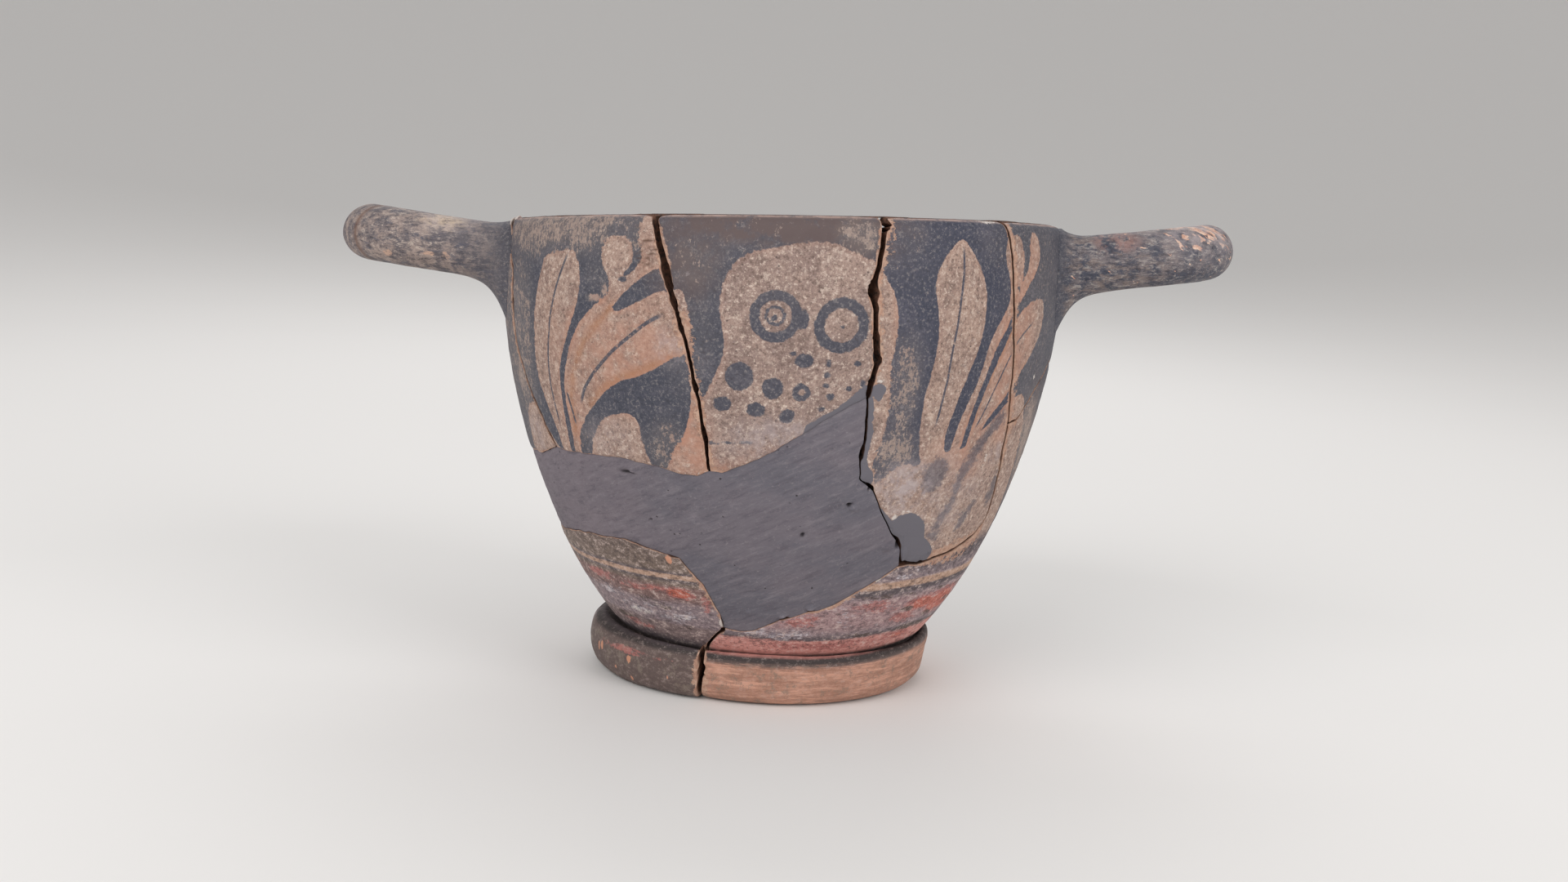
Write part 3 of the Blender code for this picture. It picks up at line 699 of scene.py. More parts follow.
    def boundary(self) -> Array:
        """Directed edges of the kept faces that no other face shares, as (from, to)."""
        pairs = np.concatenate([np.stack([f[:, k], f[:, (k + 1) % f.shape[1]]], axis=1)
                                for f in (self.quads, self.tris) for k in range(f.shape[1])])
        size = len(self.arc)
        code, back = pairs[:, 0] * size + pairs[:, 1], pairs[:, 1] * size + pairs[:, 0]
        alone = pairs[~np.isin(code, back)]
        return alone[~self.on_seam[alone].all(axis=1)]


@dataclass
class Shell:
    """A closed surface in the making: its points, faces and what each point carries."""

    points: Array
    quads: Array
    tris: Array
    carried: dict[str, Array]

    def merged(self) -> Shell:
        """The shell with points at one place made one, unused points dropped and flat faces removed."""
        places = np.round(self.points, 5)
        _, first, inverse = np.unique(places, axis=0, return_index=True, return_inverse=True)
        quads, tris = (inverse.reshape(-1)[faces] for faces in (self.quads, self.tris))
        whole = (np.diff(np.sort(quads, axis=1), axis=1) > 0).all(axis=1)
        folded = [list(dict.fromkeys(face)) for face in quads[~whole].tolist()]
        extra = np.array([face for face in folded if len(face) == 3], int).reshape(-1, 3)
        tris = np.concatenate([tris, extra])
        tris = tris[(np.diff(np.sort(tris, axis=1), axis=1) > 0).all(axis=1)]
        quads = quads[whole]
        used = np.unique(np.concatenate([quads.ravel(), tris.ravel()]))
        renumber = np.full(len(first), -1)
        renumber[used] = np.arange(len(used))
        first = first[used]
        carried = {name: values[first] for name, values in self.carried.items()}
        return Shell(self.points[first], renumber[quads], renumber[tris], carried)

    def outward(self) -> Shell:
        """The shell with its faces turned to point out, by the sign of the volume inside them."""
        tris = np.concatenate([self.tris, self.quads[:, [0, 1, 2]], self.quads[:, [0, 2, 3]]])
        a, b, c = (self.points[tris[:, k]] for k in range(3))
        if np.sum(a * np.cross(b, c)) < 0:
            self.quads, self.tris = self.quads[:, ::-1], self.tris[:, ::-1]
        return self

    def joined(self, other: Shell) -> Shell:
        """This shell and another as one, their faces in order."""
        count = len(self.points)
        carried = {key: np.concatenate([values, other.carried[key]]) for key, values in self.carried.items()}
        quads = np.concatenate([self.quads, other.quads + count])
        tris = np.concatenate([self.tris, other.tris + count])
        return Shell(np.concatenate([self.points, other.points]), quads, tris, carried)

    def mesh(self, name: str) -> bpy.types.Mesh:
        """The shell as a mesh in metres, with what its points carry as attributes."""
        mesh = bpy.data.meshes.new(name)
        mesh.vertices.add(len(self.points))
        mesh.vertices.foreach_set("co", (self.points * MM).astype(np.float32).ravel())
        corners = np.concatenate([self.quads.ravel(), self.tris.ravel()])
        mesh.loops.add(len(corners))
        mesh.loops.foreach_set("vertex_index", corners.astype(np.int32))
        totals = np.repeat([4, 3], [len(self.quads), len(self.tris)])
        mesh.polygons.add(len(totals))
        mesh.polygons.foreach_set("loop_start", (np.cumsum(totals) - totals).astype(np.int32))
        mesh.update(calc_edges=True)
        for key, values in self.carried.items():
            layer = mesh.attributes.new(key, "FLOAT", "POINT")
            layer.data.foreach_set("value", values.astype(np.float32))
        mesh.validate()
        mesh.shade_smooth()
        mesh.set_sharp_from_angle(angle=SPLIT_ANGLE)
        return mesh


def blotted(blots: Blots, arc: Array, height: Array) -> Array:
    """The strongest of the blots at each place, each fading as exp(-d^4) from its middle."""
    total = np.zeros(len(arc))
    for middle, level, wide, high, amount in blots:
        away = ((arc - middle) / wide) ** 2 + ((height - level) / high) ** 2
        total = np.maximum(total, amount * np.exp(-(away**2)))
    return total


@dataclass(frozen=True)
class Picture:
    """The painted picture on the unrolled wall, as (arc, height) in millimetres.

    reserved are the outlines left in clay, ribs the thin dark lines on the leaves, rings and dots the dark
    marks of the owl, faint the washed-out remains of slip on the worn ground, ochre the lines of thin
    yellow-brown wash, and overpaint the fill's grey brushed over the sherds. A ring is its middle, outer and
    inner radius, and a dot its middle, half width and half height.
    """

    reserved: tuple = (
        # First leaf
        ((-44.4, 73.5), (-43.4, 75.6), (-41.5, 76.4), (-39, 76.8), (-36.6, 77.1), (-34.8, 75.6),
         (-34.2, 73.2), (-34.2, 70.6), (-35.1, 67.6), (-36.7, 64.4), (-38.4, 61.2), (-39.9, 58.3),
         (-40.5, 55), (-40.7, 51), (-40.8, 46), (-41, 41.5), (-43, 41.5), (-43.9, 46), (-45.6, 50),
         (-47.1, 53.6), (-47.7, 57), (-47.6, 60.5), (-47.1, 64.5), (-46.2, 68.5), (-45.3, 71.3)),
        # Second leaf, running to the owl's crack
        ((-39.5, 41.5), (-39.4, 47), (-39.6, 51.5), (-39.3, 55.5), (-38, 59), (-36.4, 62.2), (-34.6, 64.9),
         (-33.2, 66.3), (-31.3, 67.9), (-29.6, 69), (-28.6, 69.4), (-27.6, 68.3), (-26.6, 67.4),
         (-25.4, 67.7), (-23.1, 68.7), (-20.4, 70), (-18.5, 70.8), (-16.9, 70.6), (-15, 71), (-13.6, 66),
         (-14.2, 61.4), (-16.2, 60.6), (-18.3, 59.3), (-22.2, 57.4), (-26.2, 56.2), (-29.4, 54.4),
         (-32.7, 51.6), (-35.6, 48.9), (-37.2, 46.4), (-38, 41.5)),
        # Bud and its stem
        ((-29.7, 76.6), (-29.3, 78.1), (-28.2, 79), (-26.6, 79.4), (-25, 79), (-24, 78), (-23.6, 76.5),
         (-23.7, 75.2), (-24.2, 74.3), (-25.1, 73.5), (-25, 72.8), (-24, 73.3), (-22.8, 74.5),
         (-22.1, 76.1), (-22.4, 77.4), (-22.8, 79.2), (-22.9, 81), (-22.3, 82.3), (-21, 82.6), (-19, 80.6),
         (-17.6, 76.8), (-17, 74.6), (-19.5, 74.1), (-21.5, 73.1), (-23.7, 71.3), (-25.6, 69.8),
         (-27, 68.2), (-28.6, 67.6), (-29.4, 68.7), (-28.2, 70), (-27.9, 71.5), (-28.3, 73), (-29.2, 74.6)),
        # Low leaf over the fill
        ((-34.9, 41.5), (-34.4, 44.6), (-33.4, 46.8), (-32, 48.6), (-30.2, 49.9), (-28, 50.7), (-25.6, 51),
         (-24, 50.4), (-23.2, 49), (-23, 47), (-22.5, 44.6), (-22.4, 41.5)),
        # Bare patch beside the owl's crack
        ((-13.2, 56), (-13.9, 51.8), (-15.2, 48), (-17, 45.7), (-18.3, 43), (-18.3, 40), (-10, 40),
         (-11, 50)),
        # Leaf tip on the left handle's sherd
        ((-58.3, 44.6), (-57.2, 47.6), (-55.2, 49.6), (-52.8, 50.5), (-50.5, 49.6), (-47.5, 46),
         (-44.5, 43), (-45, 40), (-57, 39.6), (-59, 42)),
        # Owl
        ((-13.4, 40), (-13.6, 50), (-12.2, 53.4), (-11.3, 54.8), (-10.3, 56.7), (-9.1, 59.2), (-8.3, 61.7),
         (-8.2, 63.6), (-8.6, 65.6), (-9, 67.8), (-8.9, 70.3), (-8.4, 72.7), (-7.3, 74.9), (-5.6, 76.4),
         (-3.7, 77.2), (-0.9, 77.7), (2.1, 78.4), (5.1, 78.7), (7.7, 78.5), (10, 77.6), (12, 76.7),
         (13.8, 76.2), (15.2, 75), (16.1, 73.6), (17.3, 71.7), (18.2, 69.5), (18.6, 67.3), (18.6, 64.4),
         (18.3, 61.5), (18.3, 58), (18.8, 54.5), (18.7, 51), (18.2, 47.8), (17.2, 44.8), (16, 40)),
        # Big leaf on the right
        ((29.4, 79.5), (31.4, 77.9), (33.2, 75.5), (34.5, 73.2), (35.2, 70.6), (35.3, 67.6), (35.1, 64.5),
         (34.3, 61.3), (33.2, 58.4), (32.2, 55.2), (31.4, 52.1), (30.8, 48.8), (31.2, 45.5), (29, 43.5),
         (26.5, 45), (25.5, 48.5), (25, 52), (25.1, 55.6), (25.6, 59), (26, 62.2), (26, 65.5), (25.5, 68.6),
         (24.8, 71.3), (24.8, 73.7), (25.7, 76), (27.3, 78.1)),
        # Worn ground low on the right, where no slip is left
        ((19.2, 41.4), (21, 43.2), (23.6, 44.2), (26, 44), (27.2, 45.2), (28.8, 46.4), (31, 46.6), (32, 46),
         (33.2, 46.4), (35.5, 46.4), (38, 47.6), (39.6, 49.2), (41.6, 50.4), (43.4, 51.8), (45.4, 53.4),
         (48, 54.4), (52, 54), (57, 46), (64, 30), (60, 22), (30, 22), (22, 33), (16, 40)),
        # Stem beside the right crack
        ((39.4, 78.3), (40.3, 80.2), (41.9, 80.6), (43.3, 80), (44.2, 78.4), (44.5, 76), (44.3, 73.6),
         (44.3, 71), (43.4, 69.6), (42.5, 68.2), (40.9, 65.4), (39.3, 63), (38.2, 60.1), (37, 56.6),
         (36.1, 53.2), (35.4, 49.6), (35, 46), (32.9, 46), (33.3, 50.2), (34.5, 54.1), (35.8, 57.2),
         (36.6, 60.2), (37.1, 63), (38.3, 65.7), (39.9, 68), (41, 69.8), (41.1, 72), (40.5, 74.1),
         (39.5, 76.2)),
        # Upper leaf past the crack
        ((44, 69.8), (45.8, 71.9), (47.9, 73.9), (49.7, 76.5), (49.9, 78.9), (48.8, 80.7), (47.3, 81),
         (46.5, 79.4), (46.3, 76.7), (45.4, 74.4), (44, 72.8)),
        # Lower leaf past the crack
        ((51.4, 70.4), (53.1, 68.8), (53.4, 65.6), (51.6, 62.4), (48.8, 59.5), (46.2, 56.4), (43.2, 53.4),
         (40.9, 51.3), (39.3, 48.9), (38.4, 45.5), (36.6, 45.5), (36.7, 49.5), (37.4, 53.2), (38.7, 57.2),
         (40.3, 61), (42, 64.4), (43.4, 67), (45.2, 68.7), (48, 70)),
    )
    ribs: tuple = (
        ((-36.9, 76.8), (-38.5, 73.9), (-39.9, 71), (-41.2, 67.6), (-42.4, 63.3), (-43.4, 58.6),
         (-43.6, 53.9), (-43.1, 50), (-42.6, 47.4)),
        ((-18, 67.2), (-20.8, 65.8), (-24.3, 63.3), (-27.2, 61.2), (-30.1, 58.7), (-32.6, 56.3),
         (-34.5, 54), (-35.6, 51.7)),
        ((29.7, 78.6), (29.9, 74), (29.7, 70.6), (29.5, 66.3), (29.1, 61.8), (29, 57.7), (28.2, 50.2)),
        ((49.6, 66.8), (45.8, 64.3), (43.3, 60.9), (41, 56.6), (38.9, 52), (37.6, 49.5)),
        ((-39, 53.5), (-38.2, 50.4), (-37.8, 48.2)),
    )
    rings: tuple = (
        ((-0.5, 67.4), 4, 2.45), ((-0.6, 67.5), 1.6, 1.1), ((9.6, 66.2), 4.25, 2.6),
    )
    dots: tuple = (
        ((-0.7, 67.2), 0.55, 0.5), ((-5.8, 58), 2.25, 2.2), ((-0.5, 56.3), 1.65, 1.7),
        ((4, 55.8), 1.45, 1.4), ((4.2, 60.7), 1.5, 1.05), ((-8.4, 53.6), 1.55, 1.15),
        ((-3, 52.9), 1.45, 1.15), ((2, 52), 1.3, 1.1), ((12.6, 60.3), 0.6, 0.45),
        ((8, 60.4), 0.45, 0.6), ((7.9, 58.6), 0.6, 0.5), ((7.9, 56.9), 0.6, 0.4),
        ((8.7, 55.2), 0.7, 0.6), ((11.5, 56.5), 0.7, 0.45), ((13.8, 57.3), 0.5, 0.6),
        ((7.4, 53.2), 0.6, 0.4), ((2.4, 61.8), 0.5, 0.4), ((9.7, 66), 0.35, 0.35),
        ((3.7, 67), 0.9, 1.5), ((-25.4, 72.5), 0.75, 0.4), ((43.2, 72), 0.6, 0.55),
        ((-10.6, 47.2), 1.3, 0.24), ((-7.6, 47.4), 0.8, 0.2), ((-4.8, 47.6), 1.2, 0.22),
    )
    faint: tuple = (
        # Washed-out remains of slip on the worn ground
        ((28.2, 43.4), (29.2, 44.7), (31.2, 45.2), (33, 44.5), (33.3, 42.4), (32.5, 40.3), (30.8, 39.2),
         (29.2, 39.7), (28.3, 41.4)),
        ((44.6, 52.6), (42, 50.6), (39.8, 48), (38.2, 45.6), (36.8, 43.8), (36.2, 42), (36.4, 39.8),
         (37, 37.4), (38, 36.6), (38.4, 39), (39, 41.6), (40.5, 44.2), (42, 46.8), (43.6, 48.6),
         (46, 50.4)),
        ((49.4, 41.4), (50.8, 41.8), (52, 39.4), (52.2, 36.4), (50.6, 35.6), (48.9, 37.6)),
        ((37.2, 38.6), (38, 36), (36.8, 34.2), (35, 31.2), (33.9, 31), (34.8, 34.8), (36.4, 37.6)),
        ((34.4, 32.6), (36, 32.8), (36.8, 31.2), (35.6, 30.4), (34.6, 31.2)),
        ((41.8, 34.6), (44.6, 37), (45.2, 36), (43.4, 32.6), (42, 31.8)),
    )
    ochre: tuple = (
        # Lines of thin yellow-brown wash on the leaves
        ((-27.4, 68.2), (-29.4, 66.2), (-31.9, 63.9), (-34.2, 61), (-36.3, 57.6), (-37.6, 53.8),
         (-38.2, 49.8), (-38.3, 46.4)),
        ((-14.4, 61.2), (-18.4, 59.9), (-22.4, 58), (-26.3, 56.8), (-29.6, 55), (-33, 52.2)),
        ((43, 66.6), (40.2, 61.2), (38.4, 57.2), (37, 53), (36.2, 49.6)),
    )
    overpaint: tuple = (
        ((5, 50.4), (8.2, 52.4), (10.2, 53.6), (12.4, 55.6), (14.4, 57.2), (15.6, 56), (15.6, 50), (6, 48)),
        ((14.4, 57), (15.6, 57), (16.6, 57.3), (17.6, 57), (17.8, 56.2), (17.4, 55.4), (16.8, 54.4),
         (15.9, 55.3), (14.4, 56)),
        ((14.6, 51.2), (16.3, 51), (16.6, 49), (16.2, 46.6), (16.6, 44.4), (18, 42.6), (17.4, 40.6),
         (14.6, 42)),
        ((19.6, 38), (20.6, 37.2), (22.8, 35.4), (24.2, 34.8), (25.2, 35.6), (27.6, 35.9), (30, 35.2),
         (32.1, 33.6), (33.1, 31.4), (34.8, 30.4), (36.6, 29.2), (37, 27.4), (34, 24.6), (27, 26),
         (20, 35)),
    )
    rib_halves: tuple[float, ...] = (0.15, 0.20, 0.14, 0.12, 0.16)
    pale_dot: tuple = ((4.1, 55.8), 0.5, 0.45)
    ochre_width: float = 0.75

    def inside(self, outlines: tuple, plane: Array) -> Array:
        """The distance into the nearest of several outlines, their corners rounded, negative outside all."""
        best = np.full(len(plane), FAR)
        for corners in outlines:
            outline = rounded(corners, 3, closed=True)
            near = ((plane > outline.min(axis=0) - 3) & (plane < outline.max(axis=0) + 3)).all(axis=1)
            if near.any():
                best[near] = np.maximum(best[near], outline_distance(plane[near], outline))
        return best

    def marked(self, plane: Array) -> Array:
        """The distance into the owl's rings and dots: half a ring's width less the distance to its middle."""
        best = np.full(len(plane), FAR)
        for centre, outer, inner in self.rings:
            away = np.hypot(*(plane - centre).T)
            best = np.maximum(best, (outer - inner) / 2 - np.abs(away - (outer + inner) / 2))
        for centre, wide, high in self.dots:
            away = np.hypot(*((plane - centre) / (wide, high)).T)
            best = np.maximum(best, (1 - away) * min(wide, high))
        centre, wide, high = self.pale_dot
        return np.minimum(best, (np.hypot(*((plane - centre) / (wide, high)).T) - 1) * min(wide, high))

    def ribbed(self, plane: Array) -> tuple[Array, Array]:
        """The sideways distance to the nearest rib, in half widths, and 1 between its ends."""
        best, held = np.full(len(plane), NO_RIB), np.zeros(len(plane))
        for points, half in zip(self.ribs, self.rib_halves):
            side, share = line_offset(plane, rounded(points))
            closer = np.abs(side / half) < np.abs(best)
            best[closer] = (side / half)[closer]
            ends = smooth_step(share, -0.01, 0.06) * smooth_step(-share, -1.01, -0.94)
            held[closer] = ends[closer]
        return np.clip(best, -NO_RIB, NO_RIB), held

    def washed(self, plane: Array) -> Array:
        """How strongly the ochre lines show: 1 on a line, fading as exp(-d^2) with the distance in widths."""
        sides = [line_offset(plane, rounded(points))[0] for points in self.ochre]
        return np.max([np.exp(-((side / self.ochre_width) ** 2)) for side in sides], axis=0)

    def fields(self, plane: Array, shown: Array) -> dict[str, Array]:
        """Every distance of the picture at places, as if far from all of it where it isn't shown.

        Args:
            plane: the places, as (arc, height).
            shown: whether each place is on the painted face.

        Returns:
            The distances, by what the mesh calls them.
        """
        values = {name: np.full(len(plane), FAR) for name in ("clay", "mark", "over", "faint")}
        values["rib"] = np.full(len(plane), NO_RIB)
        values |= {key: np.zeros(len(plane)) for key in ("rib_on", "ochre")}
        front = shown & (np.abs(plane[:, 0]) < 66) & (plane[:, 1] > 20)
        if front.any():
            here = plane[front]
            for name, outlines in (("clay", self.reserved), ("over", self.overpaint), ("faint", self.faint)):
                values[name][front] = self.inside(outlines, here)
            values["ochre"][front] = self.washed(here)
            values["mark"][front] = self.marked(here)
            values["rib"][front], values["rib_on"][front] = self.ribbed(here)
        return {name: value if name == "rib" else np.clip(value, -4, 4) for name, value in values.items()}


PICTURE = Picture()


@dataclass(frozen=True)
class Washes:
    """Where the surface differs over broad areas: soft blots for each kind of wear, tint and deposit."""

    worn: Blots = (
        (-42, 80.5, 24, 5.5, 0.85), (-53, 62, 6.5, 18, 0.7), (-18, 45, 4.5, 5.5, 0.75),
        (-13.5, 66, 5, 13, 0.34), (11.5, 79.6, 4.5, 3.4, 0.85), (-14, 75, 6, 5, 0.55),
        (-23, 79.5, 4, 3.5, 0.8), (20.5, 56, 4, 9.5, 0.8), (20, 46, 6.5, 5.4, 0.95),
        (57, 45, 9, 10, 0.95), (50, 70, 10, 14, 0.35), (0, 77, 24, 9, 0.35), (-30, 46, 10, 4, 0.6),
        (20.5, 80, 3, 4, 0.4), (-30, 73.5, 4, 3, 0.35), (38, 79, 6, 4, 0.3), (-53, 44, 6, 6, 0.6),
        (-80, 62, 18, 20, 0.5), (-30.8, 69.4, 1.8, 0.7, 1.2), (-28.8, 70.8, 0.8, 1.4, 1.1),
        (-61, 66, 5, 17, 0.35), (118, 58, 22, 18, 0.5), (-138, 70, 26, 10, 0.6), (76, 42, 22, 10, 0.8),
    )
    brown: Blots = (
        (0, 81.5, 19, 3.6, 1.4), (-15, 76, 6, 8, 0.8), (-42, 81, 20, 3, 0.4), (62, 46, 12, 14, 0.6),
        (8, 78.5, 10, 4, 0.8), (-29, 17.4, 8, 1.2, 0.8), (-46, 12.8, 7, 0.8, 0.94),
        (-20, 13.2, 9, 1, 0.68), (48, 13.4, 12, 1.1, 0.98), (24, 12.9, 14, 0.8, 0.76),
        (32, 20.6, 14, 0.8, 0.84), (50, 15.4, 5, 0.9, 1.02), (58, 17.4, 5, 0.8, 0.98),
        (38.5, 17.4, 3, 0.8, 0.94), (47, 20.6, 6, 0.7, 0.94), (62, 20.2, 5, 0.7, 0.9),
        (-31, 18, 4, 0.8, 0.92), (-26, 16.5, 4, 0.7, 0.88),
    )
    warm: Blots = (
        (-30, 70, 2.2, 1.8, 0.9), (-24, 60, 12, 9, 0.75), (-34, 63, 5, 6, 0.5), (-38, 50, 3.5, 9, 0.55),
        (-14, 46, 4, 7, 0.9), (-10, 42.5, 4, 2.5, 0.8), (-20, 75, 3, 6, 0.35), (44, 62, 6, 14, 0.7),
        (20, 68, 2.5, 12, 0.35), (38, 47, 5, 7, 0.6), (0, 44, 8, 3, 0.35), (33, 46, 5, 3, 0.5),
        (46, 50, 4, 4, 0.6), (-41, 58, 3, 12, 0.3), (47, 76, 3, 5, 0.5), (-55.4, 5.4, 0.9, 1, 1),
        (-57.4, 5, 0.6, 1.2, 0.9), (-41.7, 5, 0.9, 0.8, 1), (-41.7, 1.4, 0.6, 0.6, 1),
        (-48, 2.6, 0.6, 0.5, 0.8), (-28, 3.4, 0.5, 0.5, 0.8), (-21.2, 26.3, 1, 0.9, 1),
    )
    pale: Blots = (
        (25, 40.2, 6.4, 4.6, 1.05), (34, 38, 11, 8, 0.4), (-30, 47, 6, 3.5, 0.3), (-54, 45, 4.5, 4, 0.5),
        (46.5, 45, 2.4, 2, 0.7), (-76, 6.9, 6.5, 1.9, 1), (4, 48, 12, 4, 0.7), (-17, 62, 3, 3, 0.5),
    )
    red: Blots = (
        (-34, 19.9, 9, 1, 0.96), (-46, 20.4, 9, 1.3, 1.02), (-21, 19.9, 5.6, 1.5, 1.22),
        (-27, 20.3, 5, 1, 1.1), (-14.5, 18.4, 2, 2.4, 0.94), (-40, 11.6, 9, 1.2, 0.92),
        (-42, 6.5, 21, 1, 1.04), (54, 17.6, 11, 3.4, 1.26), (44, 18.2, 8, 2.2, 1.2),
        (39, 15.8, 7, 1.6, 1.06), (8, 16.4, 9, 2, 0.92), (22, 11.2, 34, 1.3, 0.98),
        (27, 18.4, 10, 2, 0.88), (42, 11.8, 9, 1.2, 1.14),
    )
    lilac: Blots = (
        (-30, 15.2, 20, 3, 0.82), (36, 24.9, 10, 2, 0.74), (22, 17.4, 13, 3.2, 0.68), (33, 15, 8, 1.6, 0.7),
        (4, 13.4, 15, 1.8, 0.82), (42, 14, 18, 1.4, 0.66), (-46, 17, 10, 4, 0.7),
    )
    chip: Blots = (
        (-14.4, 64.5, 2.4, 4.5, 1.5), (-18.6, 77.5, 1.6, 4, 0.6), (-12.4, 54, 1.6, 6, 0.8),
        (-11, 44, 3, 3, 0.7), (15.8, 72, 2, 16, 0.6), (18, 79.5, 2.2, 4.5, 1.3), (17.3, 68, 2, 12, 0.7),
        (42, 72, 3.5, 14, 0.8), (43.5, 77, 3, 5, 1), (47, 54, 3.5, 7, 1.2), (48, 28, 13, 3, 2.6),
        (-57.5, 72, 2, 14, 0.5), (-18.4, 3.5, 2.4, 6, 1.6), (20, 47, 3, 2, 0.5),
        (26, 31.5, 3, 2.5, 0.8), (-14, 20, 4.5, 5, 0.6), (22, 20, 16, 3, 0.5), (50, 50, 2, 14, 0.6),
        (-19.8, 68, 3, 3, 0.5), (-46, 40.5, 30, 2.2, 0.35),
    )
    cream: Blots = (
        (36, 82.9, 3.6, 0.9, 1), (29.3, 28, 0.6, 1.3, 1.1), (24.2, 35.3, 0.8, 0.6, 1),
        (26.4, 36.1, 1.6, 0.35, 0.9), (-10.9, 15, 1.2, 1, 1.2), (-46.2, 42.6, 1, 0.8, 0.9),
        (-61.3, 82.6, 1, 1.6, 1.1), (16.7, 57.7, 1, 0.35, 1), (25, 24, 1.3, 0.5, 1),
        (-20, 15, 8, 0.9, 0.5), (43.4, 44.6, 0.7, 1.1, 0.8), (54.5, 57.5, 0.5, 0.9, 1),
        (-36, 14.8, 6, 0.8, 0.75), (-22, 15, 5, 0.7, 0.6), (-11, 42, 12, 0.6, 0.6),
        (24, 19.6, 2.5, 0.5, 0.7),
    )
    lumps: Blots = (
        (-61.3, 82.6, 0.9, 1.4, 0.8), (-10.8, 15, 1, 0.9, 0.4), (29.2, 28.4, 0.5, 1.3, 0.35),
        (-14, 8.6, 0.8, 0.6, 0.3), (-20.6, 26.3, 0.9, 0.8, 0.5),
    )
    hatched: Blots = (
        (-21, 78.3, 2.3, 5.2, 1), (-16.3, 66.6, 1.7, 2.6, 0.9), (-13, 47.5, 1.6, 2.4, 0.3),
    )
    kinds: tuple[str, ...] = ("worn", "brown", "warm", "pale", "red", "lilac", "chip", "cream")

    def fields(self, arc: Array, height: Array) -> dict[str, Array]:
        """Each wash's strength at places on the wall, by its name."""
        return {kind: blotted(getattr(self, kind), arc, height) for kind in self.kinds}


WASHES = Washes()


def steps(*runs: tuple[float, float, float]) -> Array:
    """Grid lines in runs of (from, to, step), each run divided evenly."""
    rows = [np.linspace(a, b, max(1, math.ceil((b - a) / step)) + 1) for a, b, step in runs]
    return np.unique(np.round(np.concatenate(rows), 6))


def lip_rows(start: float, step: float, lip: float = 1.8) -> Array:
    """Grid lines from a station up to the rim, closer and closer over the rounded lip."""
    rim = PROFILE.marks["rim"]
    over = rim - lip * np.linspace(1, 0, 9) ** 1.7
    return np.unique(np.round(np.concatenate([steps((start, rim - lip, step)), over]), 6))


@dataclass
class Places:
    """Places in a sherd's wall, with one value for each in every field.

    depth is the share of the way through the wall, edge the distance from the nearest crack, height the
    outer profile's height at the station, and flat the place set round a cylinder.
    """

    arc: Array
    station: Array
    depth: Array
    edge: Array

    def __post_init__(self) -> None:
        """Works out the heights and the places round the cylinder."""
        self.height = np.interp(self.station, PROFILE.stations, PROFILE.outer[:, 1])
        self.flat = wrapped(self.arc, self.station)

    def drawn_out(self, share: float) -> Array:
        """The places with their round-going part squeezed, so that noise there runs in level lines."""
        return np.stack([self.flat[:, 0] * share, self.flat[:, 1] * share, self.station], axis=1)


